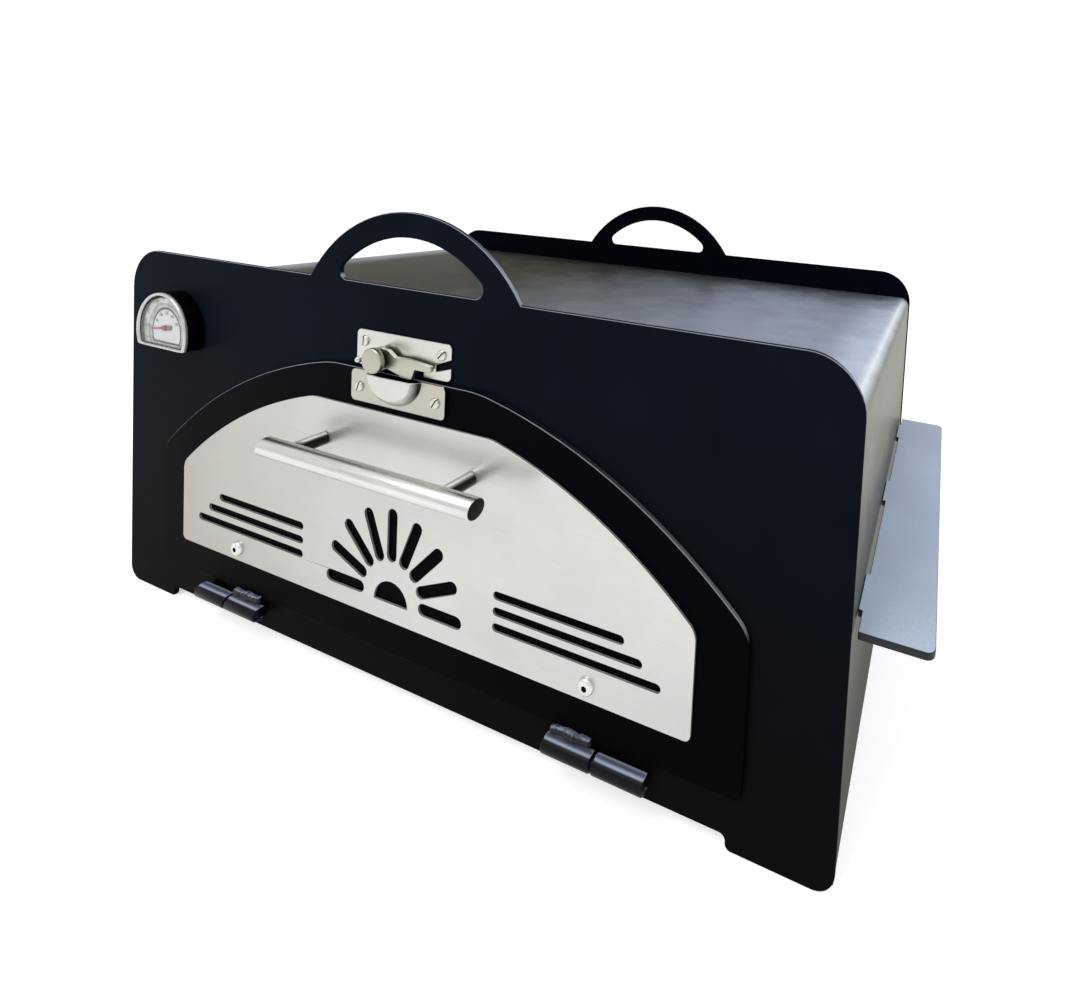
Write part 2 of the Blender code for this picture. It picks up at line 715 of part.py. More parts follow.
def vent_loops():
    """Cut-outs of the facing: stacked slots on both sides, and a fan over a half-round hole."""
    loops = []
    for side in (-1, 1):
        for row in range(VENT_SLOT_ROWS):
            outer = VENT_SLOT_OUTER - VENT_SLOT_STEP * row
            middle = side * (VENT_SLOT_INNER + outer) / 2
            height = VENT_SLOT_LOWEST + VENT_SLOT_PITCH * row
            loops.append(slot((middle, height), outer - VENT_SLOT_INNER, VENT_SLOT_HEIGHT))
    core = arc((0, FAN_CENTRE_HEIGHT), FAN_CORE_RADIUS, 0, math.pi, 2 * ARC_STEPS)
    loops.append(core)
    middle = (FAN_SLOT_INNER + FAN_SLOT_OUTER) / 2
    for i in range(FAN_SLOT_COUNT):
        angle = math.pi * i / (FAN_SLOT_COUNT - 1)
        lift = FAN_SLOT_WIDTH / 2
        place = (middle * math.cos(angle), FAN_CENTRE_HEIGHT + lift + middle * math.sin(angle))
        loops.append(slot(place, FAN_SLOT_OUTER - FAN_SLOT_INNER, FAN_SLOT_WIDTH, angle))
    return loops


def build_facing():
    outline = arched_panel(
        FACING_HALF_WIDTH,
        FACING_BOTTOM,
        FACING_TOP,
        FACING_ARCH_RADIUS,
        FACING_ARCH_CENTRE,
        FACING_SHOULDER,
        FACING_CORNER,
        FACING_CROWN_ROUND,
    )
    loops = [outline] + vent_loops()
    for side in (-1, 1):
        loops.append(
            circle(
                (side * FACING_SCREW_SPREAD / 2, FACING_SCREW_HEIGHT),
                M6_SHANK + HOLE_CLEARANCE,
            )
        )
        loops.append(circle((side * POST_SPACING / 2, BAR_HEIGHT), M4_SHANK + HOLE_CLEARANCE))
    middle = (FACING_BACK + FACING_FRONT) / 2
    flat_piece("door_facing", loops, FACING_THICKNESS, STEEL, (0, middle, 0), on=DOOR_AXIS)


def dome(radius, height, base, steps=ARC_STEPS):
    """Profile of a button head from its crown to its rim, above a base height."""
    return [
        (radius * math.sin(i * math.pi / 2 / steps), base + height * math.cos(i * math.pi / 2 / steps))
        for i in range(steps + 1)
    ]


def build_facing_screws():
    under_head = FACING_FRONT - GAP
    nut_front = DOOR_BACK + GAP
    reach = nut_front + M6_NUT_HEIGHT + GAP - under_head
    for name, side in (("left", -1), ("right", 1)):
        x = side * FACING_SCREW_SPREAD / 2
        profile = dome(M6_HEAD, M6_HEAD_HEIGHT, 0)
        profile += [(M6_SHANK, 0), (M6_SHANK, -reach), (0, -reach)]
        screw = turned(
            "facing_screw_" + name,
            profile,
            STEEL,
            (x, under_head, FACING_SCREW_HEIGHT),
            TO_FRONT,
            on=DOOR_AXIS,
        )
        socket = flat_piece(
            "facing_socket_" + name,
            [hexagon((0, 0), 2 * M6_SOCKET)],
            2 * M6_SOCKET_DEPTH,
            STEEL,
            (x, under_head - M6_HEAD_HEIGHT, FACING_SCREW_HEIGHT),
            on=DOOR_AXIS,
        )
        boolean(screw, as_mesh(socket), "DIFFERENCE")
        flat_piece(
            "facing_nut_" + name,
            [hexagon((0, 0), M6_NUT_ACROSS_FLATS), circle((0, 0), M6_SHANK + GAP)],
            M6_NUT_HEIGHT,
            STEEL,
            (x, nut_front + M6_NUT_HEIGHT / 2, FACING_SCREW_HEIGHT),
            on=DOOR_AXIS,
        )


def build_bar_handle():
    end = BAR_LENGTH / 2
    inner = end - BAR_CHAMFER
    profile = [
        (0, end),
        (BAR_RADIUS - BAR_CHAMFER, end),
        (BAR_RADIUS, inner),
        (BAR_RADIUS, -inner),
        (BAR_RADIUS - BAR_CHAMFER, -end),
        (0, -end),
    ]
    turned("handle_bar", profile, STEEL, (0, BAR_Y, BAR_HEIGHT), ALONG_X, on=DOOR_AXIS)
    foot = FACING_FRONT - GAP
    length = foot - BAR_Y
    for name, side in (("left", -1), ("right", 1)):
        x = side * POST_SPACING / 2
        post = turned(
            "handle_post_" + name,
            [
                (M4_SHANK + GAP, length),
                (POST_RADIUS, length),
                (POST_RADIUS, 0),
                (M4_SHANK + GAP, 0),
            ],
            STEEL,
            (x, foot, BAR_HEIGHT),
            TO_FRONT,
            on=DOOR_AXIS,
            ring=True,
        )
        half = POST_RADIUS + OVERRUN
        saddle = turned(
            "handle_saddle_" + name,
            [(0, half), (BAR_RADIUS + GAP, half), (BAR_RADIUS + GAP, -half), (0, -half)],
            STEEL,
            (x, BAR_Y, BAR_HEIGHT),
            ALONG_X,
            on=DOOR_AXIS,
        )
        boolean(post, saddle, "DIFFERENCE")
        head = DOOR_BACK + GAP
        shank = head - FACING_FRONT + M4_REACH
        turned(
            "handle_screw_" + name,
            dome(M4_HEAD, M4_HEAD_HEIGHT, 0) + [(M4_SHANK, 0), (M4_SHANK, -shank), (0, -shank)],
            STEEL,
            (x, head, BAR_HEIGHT),
            TO_BACK,
            on=DOOR_AXIS,
            steps=SMALL_ROUND_STEPS,
        )


def knuckle(name, x, on):
    """One barrel of a weld-on hinge, bored for its pin, with its left end at x."""
    bore = HINGE_PIN_RADIUS + GAP
    rim = KNUCKLE_RADIUS - KNUCKLE_CHAMFER
    profile = [
        (bore, KNUCKLE_LENGTH),
        (rim, KNUCKLE_LENGTH),
        (KNUCKLE_RADIUS, KNUCKLE_LENGTH - KNUCKLE_CHAMFER),
        (KNUCKLE_RADIUS, KNUCKLE_CHAMFER),
        (rim, 0),
        (bore, 0),
    ]
    return turned(
        name, profile, BLACK, (x, HINGE_Y, HINGE_HEIGHT), ALONG_X, on=on, ring=True
    )


def weld_bead(name, x):
    """The rippled weld on top of a door knuckle, just short of the door's face."""
    curve = bpy.data.curves.new(name, "CURVE")
    curve.dimensions = "3D"
    curve.bevel_depth = BEAD_RADIUS
    curve.bevel_resolution = 2
    curve.use_fill_caps = True
    spline = curve.splines.new("POLY")
    spline.points.add(BEAD_POINTS - 1)
    run = KNUCKLE_LENGTH - 2 * BEAD_INSET
    for i, point in enumerate(spline.points):
        point.co = (run * i / (BEAD_POINTS - 1), 0, 0, 1)
        point.radius = 1 + BEAD_RIPPLE / BEAD_RADIUS * (-1) ** i
    obj = bpy.data.objects.new(name, curve)
    PARTS.objects.link(obj)
    middle_y = DOOR_FRONT - GAP - BEAD_RADIUS - BEAD_RIPPLE
    middle_z = HINGE_HEIGHT + KNUCKLE_RADIUS + BEAD_RISE
    bead = as_mesh(put(obj, (x + BEAD_INSET, middle_y, middle_z), on=DOOR_AXIS))
    bead.data.transform(Matrix.Diagonal((1, 1, BEAD_TALL_SHARE, 1)))
    return bead


def build_hinges():
    """Two barrel hinges. The inner knuckle of each is on the door, the outer on the plate."""
    pitch = KNUCKLE_LENGTH + KNUCKLE_GAP
    for name, side in (("left", -1), ("right", 1)):
        middle = side * HINGE_MIDDLE
        left_end = middle - KNUCKLE_GAP / 2 - KNUCKLE_LENGTH
        right_end = left_end + pitch
        door_end = right_end if side < 0 else left_end
        frame_end = left_end if side < 0 else right_end
        leaf = knuckle(f"hinge_{name}_door_knuckle", door_end, DOOR_AXIS)
        boolean(leaf, weld_bead(f"hinge_{name}_bead", door_end), "UNION")
        knuckle(f"hinge_{name}_frame_knuckle", frame_end, None)
        half = KNUCKLE_LENGTH + KNUCKLE_GAP / 2 - HINGE_PIN_SETBACK
        turned(
            f"hinge_{name}_pin",
            [(0, half), (HINGE_PIN_RADIUS, half), (HINGE_PIN_RADIUS, -half), (0, -half)],
            STEEL,
            (middle, HINGE_Y, HINGE_HEIGHT),
            ALONG_X,
        )


def build_latch_plate():
    """A plate with a slanted notch at its right end. Its foot is cut back between an ear on the
    left and a block on the right, where the lever's tongue comes down to the keeper."""
    half = LATCH_WIDTH / 2
    top = LATCH_LOW + LATCH_RISE
    ear = LATCH_EAR_WIDTH - half
    block_side = half - LATCH_BLOCK_WIDTH
    step = LATCH_LOW + LATCH_STEP_RISE
    tip = half - LATCH_SLOT_DEPTH
    corners = [
        (-half, LATCH_LOW, LATCH_CORNER),
        (ear, LATCH_LOW, LATCH_STEP_CORNER),
        (ear, step, LATCH_STEP_CORNER),
        (block_side, step, LATCH_STEP_CORNER),
        (block_side, LATCH_LOW, LATCH_STEP_CORNER),
        (half, LATCH_LOW, LATCH_CORNER),
        (half, LATCH_LOW + LATCH_SLOT_MOUTH_LOW, 0),
        (tip, LATCH_LOW + LATCH_SLOT_TIP_LOW, 0),
        (tip, LATCH_LOW + LATCH_SLOT_TIP_TOP, 0),
        (half, LATCH_LOW + LATCH_SLOT_MOUTH_TOP, 0),
        (half, top, LATCH_CORNER),
        (-half, top, LATCH_CORNER),
    ]
    loops = [
        rounded(corners),
        circle((PIVOT_OFFSET, PIVOT_Z), JOURNAL_RADIUS + HOLE_CLEARANCE),
    ]
    for side in (-1, 1):
        place = (side * LATCH_SCREW_SPREAD / 2, LATCH_LOW + LATCH_SCREW_RISE)
        loops.append(circle(place, TRIM_SHANK + HOLE_CLEARANCE))
    rivet = (RIVET_INSET - half, LATCH_LOW + RIVET_INSET)
    loops.append(circle(rivet, RIVET_RADIUS / 2 + GAP))
    middle = (LATCH_FRONT - GAP) / 2
    flat_piece("latch_plate", loops, LATCH_THICKNESS, NICKEL, (0, middle, 0))
    turned(
        "latch_rivet",
        dome(RIVET_RADIUS, RIVET_HEIGHT, 0)
        + [
            (RIVET_RADIUS / 2, 0),
            (RIVET_RADIUS / 2, -LATCH_THICKNESS - GAP),
            (0, -LATCH_THICKNESS - GAP),
        ],
        NICKEL,
        (rivet[0], LATCH_FRONT - GAP, rivet[1]),
        TO_FRONT,
        steps=SMALL_ROUND_STEPS,
    )


def lever_outline():
    """The lever's arm about its pivot: boss, arm, tongue and the bar at its end."""
    boss = LEVER_BOSS
    lean = math.asin(ARM_LOBE_RISE / boss)
    belly = math.asin(ARM_NECK_FOOT / boss)
    tip = DOOR_TOP + TONGUE_LIFT - PIVOT_Z
    round_off = (TONGUE_RIGHT - TONGUE_LEFT) / 10
    edge = [
        (TONGUE_LEFT, ARM_BELLY_RISE, 0),
        (TONGUE_LEFT, tip, round_off),
        (TONGUE_RIGHT, tip, round_off),
        (TONGUE_ROOT, BAR_ROOT_BOTTOM_RISE, 0),
        (ARM_END, BAR_END_BOTTOM_RISE, round_off),
        (ARM_END, BAR_END_TOP_RISE, round_off),
        (ARM_SHOULDER, ARM_TOP_RISE, 0),
        (ARM_CREST, ARM_CREST_RISE, 0),
        (ARM_NECK_END, ARM_TOP_RISE, 0),
        (ARM_LOBE, ARM_LOBE_RISE, round_off),
    ]
    round_boss = arc((0, 0), boss, lean, 2 * math.pi + belly, 3 * ARC_STEPS)
    return rounded(edge + [(x, z, 0) for x, z in round_boss])


def build_latch_lever():
    """Knob, neck, boss and journal turned in one, with the arm joined to the boss."""
    front = -KNOB_FRONT
    knob_back = front + KNOB_THICKNESS
    boss_front = LEVER_FRONT - GAP
    boss_back = LATCH_FRONT - GAP
    end = PLATE_THICKNESS + WASHER_THICKNESS + LATCH_NUT_HEIGHT + 3 * GAP
    profile = [
        (0, -front),
        (KNOB_RADIUS - KNOB_EDGE, -front),
        (KNOB_RADIUS, -front - KNOB_EDGE),
        (KNOB_RADIUS, -knob_back + KNOB_EDGE),
        (KNOB_RADIUS - KNOB_EDGE, -knob_back),
        (KNOB_NECK, -knob_back),
        (KNOB_NECK, -boss_front),
        (LEVER_BOSS, -boss_front),
        (LEVER_BOSS, -boss_back),
        (JOURNAL_RADIUS, -boss_back),
        (JOURNAL_RADIUS, -end),
        (0, -end),
    ]
    lever = turned(
        "latch_lever",
        profile,
        NICKEL,
        (PIVOT_OFFSET, 0, PIVOT_Z),
        TO_FRONT,
        on=LATCH_AXIS,
        steps=ROUND_STEPS,
    )
    arm = flat_piece(
        "latch_arm",
        [lever_outline()],
        LEVER_THICKNESS,
        NICKEL,
        (PIVOT_OFFSET, (LEVER_BACK + LEVER_FRONT) / 2, PIVOT_Z),
        on=LATCH_AXIS,
    )
    boolean(lever, as_mesh(arm), "UNION")


def build_latch_fixings():
    washer_front = PLATE_THICKNESS + GAP
    nut_front = washer_front + WASHER_THICKNESS + GAP
    flat_piece(
        "latch_washer",
        [circle((0, 0), WASHER_RADIUS), circle((0, 0), JOURNAL_RADIUS + GAP)],
        WASHER_THICKNESS,
        STEEL,
        (PIVOT_OFFSET, washer_front + WASHER_THICKNESS / 2, PIVOT_Z),
        on=LATCH_AXIS,
    )
    flat_piece(
        "latch_nut",
        [hexagon((0, 0), LATCH_NUT_ACROSS_FLATS), circle((0, 0), JOURNAL_RADIUS + GAP)],
        LATCH_NUT_HEIGHT,
        STEEL,
        (PIVOT_OFFSET, nut_front + LATCH_NUT_HEIGHT / 2, PIVOT_Z),
        on=LATCH_AXIS,
    )


def ellipsoid(name, half_width, drop, depth, place):
    """A round blister, wide in X, deep in Y and tall in Z, before its top is cut."""
    mesh = bpy.data.meshes.new(name)
    work = bmesh.new()
    bmesh.ops.create_uvsphere(work, u_segments=24, v_segments=14, radius=1)
    bmesh.ops.scale(work, vec=(half_width, depth, drop), verts=work.verts)
    work.to_mesh(mesh)
    work.free()
    mesh.materials.append(NICKEL)
    mesh.shade_smooth()
    obj = bpy.data.objects.new(name, mesh)
    PARTS.objects.link(obj)
    return put(obj, place, on=DOOR_AXIS)


def block(name, low, high):
    """A square cutter between two opposite corners."""
    mesh = bpy.data.meshes.new(name)
    work = bmesh.new()
    bmesh.ops.create_cube(work, size=1)
    size = Vector(high) - Vector(low)
    bmesh.ops.scale(work, vec=size, verts=work.verts)
    work.to_mesh(mesh)
    work.free()
    obj = bpy.data.objects.new(name, mesh)
    PARTS.objects.link(obj)
    return put(obj, (Vector(low) + Vector(high)) / 2, on=DOOR_AXIS)


def build_keeper():
    """A pressed plate whose half-round pocket is open at the top for the lever's tongue."""
    half = KEEPER_WIDTH / 2
    corners = [
        (-half, KEEPER_BOTTOM, KEEPER_CORNER),
        (half, KEEPER_BOTTOM, KEEPER_CORNER),
        (half, KEEPER_TOP, KEEPER_CORNER),
        (-half, KEEPER_TOP, KEEPER_CORNER),
    ]
    loops = [rounded(corners)]
    screw_height = KEEPER_BOTTOM + KEEPER_SCREW_RISE
    for side in (-1, 1):
        place = (side * KEEPER_SCREW_SPREAD / 2, screw_height)
        loops.append(circle(place, TRIM_SHANK + HOLE_CLEARANCE))
    middle = (KEEPER_BACK + KEEPER_FRONT) / 2
    keeper = as_mesh(
        flat_piece("keeper_plate", loops, KEEPER_THICKNESS, NICKEL, (0, middle, 0), on=DOOR_AXIS)
    )
    depth = KEEPER_THICKNESS + POCKET_DEPTH - POCKET_WALL
    place = (0, KEEPER_BACK, KEEPER_TOP)
    blister = ellipsoid(
        "keeper_blister", POCKET_HALF_WIDTH, POCKET_DROP, KEEPER_THICKNESS + POCKET_DEPTH, place
    )
    boolean(keeper, blister, "UNION")
    wall = POCKET_WALL
    hollow = ellipsoid(
        "keeper_hollow", POCKET_HALF_WIDTH - wall, POCKET_DROP - wall, depth, place
    )
    boolean(keeper, hollow, "DIFFERENCE")
    reach = POCKET_DROP + OVERRUN
    above = block(
        "keeper_above",
        (-half - OVERRUN, KEEPER_BACK - reach, KEEPER_TOP),
        (half + OVERRUN, KEEPER_BACK + reach, KEEPER_TOP + reach),
    )
    boolean(keeper, above, "DIFFERENCE")
    behind = block(
        "keeper_behind",
        (-half - OVERRUN, KEEPER_BACK, KEEPER_BOTTOM - OVERRUN),
        (half + OVERRUN, KEEPER_BACK + reach, KEEPER_TOP + reach),
    )
    boolean(keeper, behind, "DIFFERENCE")


def trim_screw(name, x, z, face, bite, slant, on=None):
    """A slotted round-head screw standing on a face, its shank ending inside the metal."""
    profile = dome(TRIM_HEAD, TRIM_HEAD_HEIGHT, 0, 4)
    profile += [(TRIM_SHANK, 0), (TRIM_SHANK, -bite), (0, -bite)]
    screw = turned(
        name, profile, NICKEL, (x, face - GAP, z), TO_FRONT, on=on, steps=SMALL_ROUND_STEPS
    )
    half = TRIM_HEAD + OVERRUN
    loop = [
        (-half, -TRIM_SLOT / 2),
        (half, -TRIM_SLOT / 2),
        (half, TRIM_SLOT / 2),
        (-half, TRIM_SLOT / 2),
    ]
    turned_loop = [
        (
            u * math.cos(slant) - v * math.sin(slant),
            u * math.sin(slant) + v * math.cos(slant),
        )
        for u, v in loop
    ]
    front = face - GAP - TRIM_HEAD_HEIGHT
    groove = flat_piece(
        name + "_slot", [turned_loop], 2 * TRIM_SLOT_DEPTH, NICKEL, (x, front, z), on=on
    )
    boolean(screw, as_mesh(groove), "DIFFERENCE")


def build_trim_screws():
    """Two screws hold the latch plate and two hold the keeper, each with its slot's own angle."""
    latch_bite = LATCH_THICKNESS + PLATE_THICKNESS
    keeper_bite = KEEPER_THICKNESS + DOOR_THICKNESS
    latch_z = LATCH_LOW + LATCH_SCREW_RISE
    keeper_z = KEEPER_BOTTOM + KEEPER_SCREW_RISE
    for i, (name, side) in enumerate((("left", -1), ("right", 1))):
        latch_x = side * LATCH_SCREW_SPREAD / 2
        turn = LATCH_SCREW_TURNS[i]
        trim_screw("latch_screw_" + name, latch_x, latch_z, LATCH_FRONT, latch_bite, turn)
        keeper_x = side * KEEPER_SCREW_SPREAD / 2
        turn = KEEPER_SCREW_TURNS[i]
        trim_screw(
            "keeper_screw_" + name, keeper_x, keeper_z, KEEPER_FRONT, keeper_bite, turn, DOOR_AXIS
        )


def gauge_outline(radius, drop, corner):
    """A half-round top on short straight sides, with a flat foot. The round's centre lies a
    little below the pointer's pivot, which is at zero."""
    centre = -GAUGE_PIVOT_RISE
    low = centre - drop
    foot = rounded(
        [(-radius, centre, 0), (-radius, low, corner), (radius, low, corner), (radius, centre, 0)]
    )
    return foot[1:-1] + arc((0, centre), radius, 0, math.pi, 2 * LONG_ARC_STEPS)


def funnel(name, rear, front, rear_y, front_y):
    """A closed loft between two outlines of equally many points, one behind the other."""
    work = bmesh.new()
    back_ring = [work.verts.new((x, rear_y, z)) for x, z in rear]
    front_ring = [work.verts.new((x, front_y, z)) for x, z in front]
    count = len(rear)
    for i in range(count):
        j = (i + 1) % count
        work.faces.new((back_ring[i], back_ring[j], front_ring[j], front_ring[i]))
    work.faces.new(back_ring)
    work.faces.new(front_ring)
    bmesh.ops.recalc_face_normals(work, faces=work.faces)
    mesh = bpy.data.meshes.new(name)
    work.to_mesh(mesh)
    work.free()
    mesh.materials.append(CHROME)
    obj = bpy.data.objects.new(name, mesh)
    PARTS.objects.link(obj)
    return put(obj, (GAUGE_X, 0, GAUGE_HEIGHT))


def gauge_hole(radius, steps=HOLE_STEPS):
    return circle((0, 0), radius, steps)


def build_thermometer_case():
    """A deep chromed cup with a rolled rim and sloping walls down to the dial."""
    outline = gauge_outline(GAUGE_RADIUS, GAUGE_FLAT_DROP, GAUGE_CORNER)
    case = as_mesh(
        flat_piece(
            "thermometer_case",
            [outline, gauge_hole(STEM_RADIUS + GAP)],
            GAUGE_DEPTH,
            CHROME,
            (GAUGE_X, -GAP - GAUGE_DEPTH / 2, GAUGE_HEIGHT),
        )
    )
    rim = GAUGE_RIM
    mouth = gauge_outline(GAUGE_RADIUS - rim, GAUGE_FLAT_DROP - rim, GAUGE_CORNER - rim)
    throat = gauge_outline(DIAL_RADIUS, DIAL_FLAT_DROP, DIAL_CORNER)
    slope = funnel("thermometer_slope", throat, mouth, DIAL_SEAT, GAUGE_FRONT)
    lift = OVERRUN
    cap = funnel("thermometer_mouth", mouth, mouth, GAUGE_FRONT + GAP / 10, GAUGE_FRONT - lift)
    boolean(case, slope, "DIFFERENCE")
    boolean(case, cap, "DIFFERENCE")


def build_thermometer_dial():
    seat = DIAL_SEAT - GAP
    outline = gauge_outline(DIAL_RADIUS - GAP, DIAL_FLAT_DROP - GAP, DIAL_CORNER)
    flat_piece(
        "thermometer_dial",
        [outline, gauge_hole(SPINDLE_RADIUS + GAP)],
        DIAL_THICKNESS,
        WHITE,
        (GAUGE_X, seat - DIAL_THICKNESS / 2, GAUGE_HEIGHT),
    )


def build_thermometer_needle():
    """The pointer rests at the low end of its scale: it points left and a little down, and its
    broad tail is on the right of the spindle."""
    seat = DIAL_SEAT - 2 * GAP - DIAL_THICKNESS
    half = NEEDLE_WIDTH / 2
    corners = [
        (-NEEDLE_LENGTH, 0, 0),
        (-NEEDLE_FRONT, -NEEDLE_SHAFT / 2, 0),
        (-NEEDLE_FRONT, -half, half / 4),
        (NEEDLE_TAIL, -half, half / 4),
        (NEEDLE_TAIL, half, half / 4),
        (-NEEDLE_FRONT, half, half / 4),
        (-NEEDLE_FRONT, NEEDLE_SHAFT / 2, 0),
    ]
    flat_piece(
        "thermometer_needle",
        [rounded(corners), gauge_hole(SPINDLE_RADIUS + GAP)],
        NEEDLE_THICKNESS,
        RED,
        (GAUGE_X, seat - NEEDLE_THICKNESS / 2, GAUGE_HEIGHT),
        turn=(UPRIGHT[0], NEEDLE_REST_LEAN, 0),
        on=NEEDLE_AXIS,
    )
    front = seat - NEEDLE_THICKNESS - GAP
    back = SPINDLE_REACH
    turned(
        "thermometer_spindle",
        [
            (0, -front),
            (SPINDLE_RADIUS, -front),
            (SPINDLE_RADIUS, -back),
            (0, -back),
        ],
        STEEL,
        (GAUGE_X, 0, GAUGE_HEIGHT),
        TO_FRONT,
        on=NEEDLE_AXIS,
        steps=SMALL_ROUND_STEPS,
    )


def build_thermometer_glass():
    """A flat pane resting on the case's sloping wall, just inside the rim."""
    share = GLASS_SETBACK / (GAUGE_DEPTH - DIAL_FLOOR)
    rear_share = (GLASS_SETBACK + GLASS_THICKNESS) / (GAUGE_DEPTH - DIAL_FLOOR)
    widest = GAUGE_RADIUS - GAUGE_RIM
    lowest = GAUGE_FLAT_DROP - GAUGE_RIM
    corner = GAUGE_CORNER - GAUGE_RIM
    rings = []
    for part in (rear_share, share):
        radius = widest + (DIAL_RADIUS - widest) * part - GAP
        drop = lowest + (DIAL_FLAT_DROP - lowest) * part - GAP
        rings.append(gauge_outline(radius, drop, corner + (DIAL_CORNER - corner) * part))
    front = GAUGE_FRONT + GLASS_SETBACK
    pane = funnel("thermometer_glass", rings[0], rings[1], front + GLASS_THICKNESS, front)
    pane.data.materials.clear()
    pane.data.materials.append(GLASS)


def build_thermometer_stem():
    """The probe tube runs from the case through the plate, closed at its tip, with a nut."""
    front = -DIAL_SEAT - GAP
    bore = STEM_RADIUS - STEM_WALL
    bore_end = -SPINDLE_REACH - GAP
    tip = -STEM_LENGTH
    turned(
        "thermometer_stem",
        [
            (0, bore_end),
            (bore, bore_end),
            (bore, front),
            (STEM_RADIUS, front),
            (STEM_RADIUS, tip + STEM_WALL),
            (STEM_RADIUS - STEM_WALL, tip),
            (0, tip),
        ],
        STEEL,
        (GAUGE_X, 0, GAUGE_HEIGHT),
        TO_FRONT,
    )
    nut_front = PLATE_THICKNESS + GAP
    flat_piece(
        "thermometer_nut",
        [hexagon((0, 0), STEM_NUT_ACROSS_FLATS), gauge_hole(STEM_RADIUS + GAP)],
        STEM_NUT_HEIGHT,
        STEEL,
        (GAUGE_X, nut_front + STEM_NUT_HEIGHT / 2, GAUGE_HEIGHT),
    )


clear_scene()
PARTS = new_collection("grill_top_pizza_oven")
CUTTERS = new_collection("cutters")

BLACK = finish_of("black_powder_coat", (0.012, 0.013, 0.017), 0.42, 0.0)
SHEET = finish_of("mill_finish_steel_sheet", (0.42, 0.43, 0.45), 0.36, 1.0)
SHELF = finish_of("blue_grey_shelf", (0.30, 0.33, 0.38), 0.55, 0.0)
STEEL = finish_of("brushed_stainless", (0.66, 0.64, 0.61), 0.30, 1.0)
NICKEL = finish_of("nickel_plate", (0.70, 0.67, 0.60), 0.20, 1.0)
CHROME = finish_of("chrome", (0.78, 0.78, 0.78), 0.10, 1.0)
WHITE = finish_of("white_dial", (0.80, 0.80, 0.78), 0.50, 0.0)
RED = finish_of("red_pointer", (0.55, 0.04, 0.05), 0.45, 0.0)
GLASS = finish_of("clear_glass", (0.95, 0.97, 0.97), 0.05, 0.0)
STONE = finish_of("cordierite", (0.62, 0.55, 0.43), 0.90, 0.0)

RIGHT_REACH = HALF_WIDTH + SHELF_REACH
FRONT_REACH = BAR_Y - BAR_RADIUS
OVEN = empty_at(
    "oven", ((HALF_WIDTH - RIGHT_REACH) / 2, -(OVEN_DEPTH + FRONT_REACH) / 2, 0)
)
DOOR_AXIS = empty_at("door_axis", (0, HINGE_Y, HINGE_HEIGHT), OVEN)
LATCH_AXIS = empty_at("latch_axis", (PIVOT_OFFSET, 0, PIVOT_Z), OVEN)
NEEDLE_AXIS = empty_at("needle_axis", (GAUGE_X, 0, GAUGE_HEIGHT), OVEN)

build_front_plate()
build_back_plate()
build_shell()
build_side_shelf()
build_rails()
build_deck()
build_stone()
build_door_panel()
build_facing()
build_facing_screws()
build_bar_handle()
build_hinges()
build_latch_plate()
build_latch_lever()
build_latch_fixings()
build_keeper()
build_trim_screws()
build_thermometer_case()
build_thermometer_dial()
build_thermometer_needle()
build_thermometer_glass()
build_thermometer_stem()
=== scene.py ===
import math
import random

import bpy
from mathutils import Euler, Matrix, Vector


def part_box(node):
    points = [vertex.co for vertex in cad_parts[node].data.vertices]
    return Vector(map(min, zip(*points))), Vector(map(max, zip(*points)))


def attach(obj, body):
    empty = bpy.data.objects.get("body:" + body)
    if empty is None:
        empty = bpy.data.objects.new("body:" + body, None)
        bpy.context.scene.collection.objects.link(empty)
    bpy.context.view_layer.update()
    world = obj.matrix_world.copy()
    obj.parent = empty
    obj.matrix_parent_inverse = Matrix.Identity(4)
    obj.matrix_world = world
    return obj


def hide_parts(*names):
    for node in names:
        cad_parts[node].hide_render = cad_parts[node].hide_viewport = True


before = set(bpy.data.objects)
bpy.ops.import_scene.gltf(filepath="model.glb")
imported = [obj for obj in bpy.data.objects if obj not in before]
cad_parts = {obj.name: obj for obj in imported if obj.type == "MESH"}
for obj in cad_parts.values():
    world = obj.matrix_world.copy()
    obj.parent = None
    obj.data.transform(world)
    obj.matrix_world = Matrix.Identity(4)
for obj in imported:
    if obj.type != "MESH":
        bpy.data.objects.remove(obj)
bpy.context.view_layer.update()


# Camera
# It stands close in front of the oven's right half, a little above it, where the photograph
# was taken from. The picture is a crop of a wider view, hence the shift.
EYE = (0.309847, -0.392672, 0.355784)
EYE_PAN = math.radians(17.204)
EYE_TILT = math.radians(-2.4657)
EYE_ROLL = math.radians(3.4853)
FILM_WIDTH_MM = 36
FOCAL_LENGTH_MM = 17.686
CROP_ACROSS = -0.22435
CROP_UP = -0.26352
NEAREST_SEEN = 0.01
lens = bpy.data.cameras.new("camera")
lens.sensor_fit = "HORIZONTAL"
lens.sensor_width = FILM_WIDTH_MM
lens.lens = FOCAL_LENGTH_MM
lens.shift_x = CROP_ACROSS
lens.shift_y = CROP_UP
lens.clip_start = NEAREST_SEEN
camera = bpy.data.objects.new("camera", lens)
upright = Euler((math.radians(90) + EYE_TILT, 0, EYE_PAN)).to_matrix()
turned = upright @ Matrix.Rotation(EYE_ROLL, 3, "Z")
camera.matrix_world = Matrix.Translation(EYE) @ turned.to_4x4()
bpy.context.scene.collection.objects.link(camera)
bpy.context.scene.camera = camera
bpy.context.scene.view_settings.view_transform = "Standard"


# Studio
# A pale floor under a white surround. Two big soft lamps light the oven from above: one over
# its front, one over its right side. What the lens and polished metal see of the room is white.
ROOM_LIGHT = 0.55
WHITE = (1, 1, 1, 1)
FLOOR_REACH = 3.0
FLOOR_GLOW = 0.56
LAMP_AIM = Vector((0, 0, 0.15))


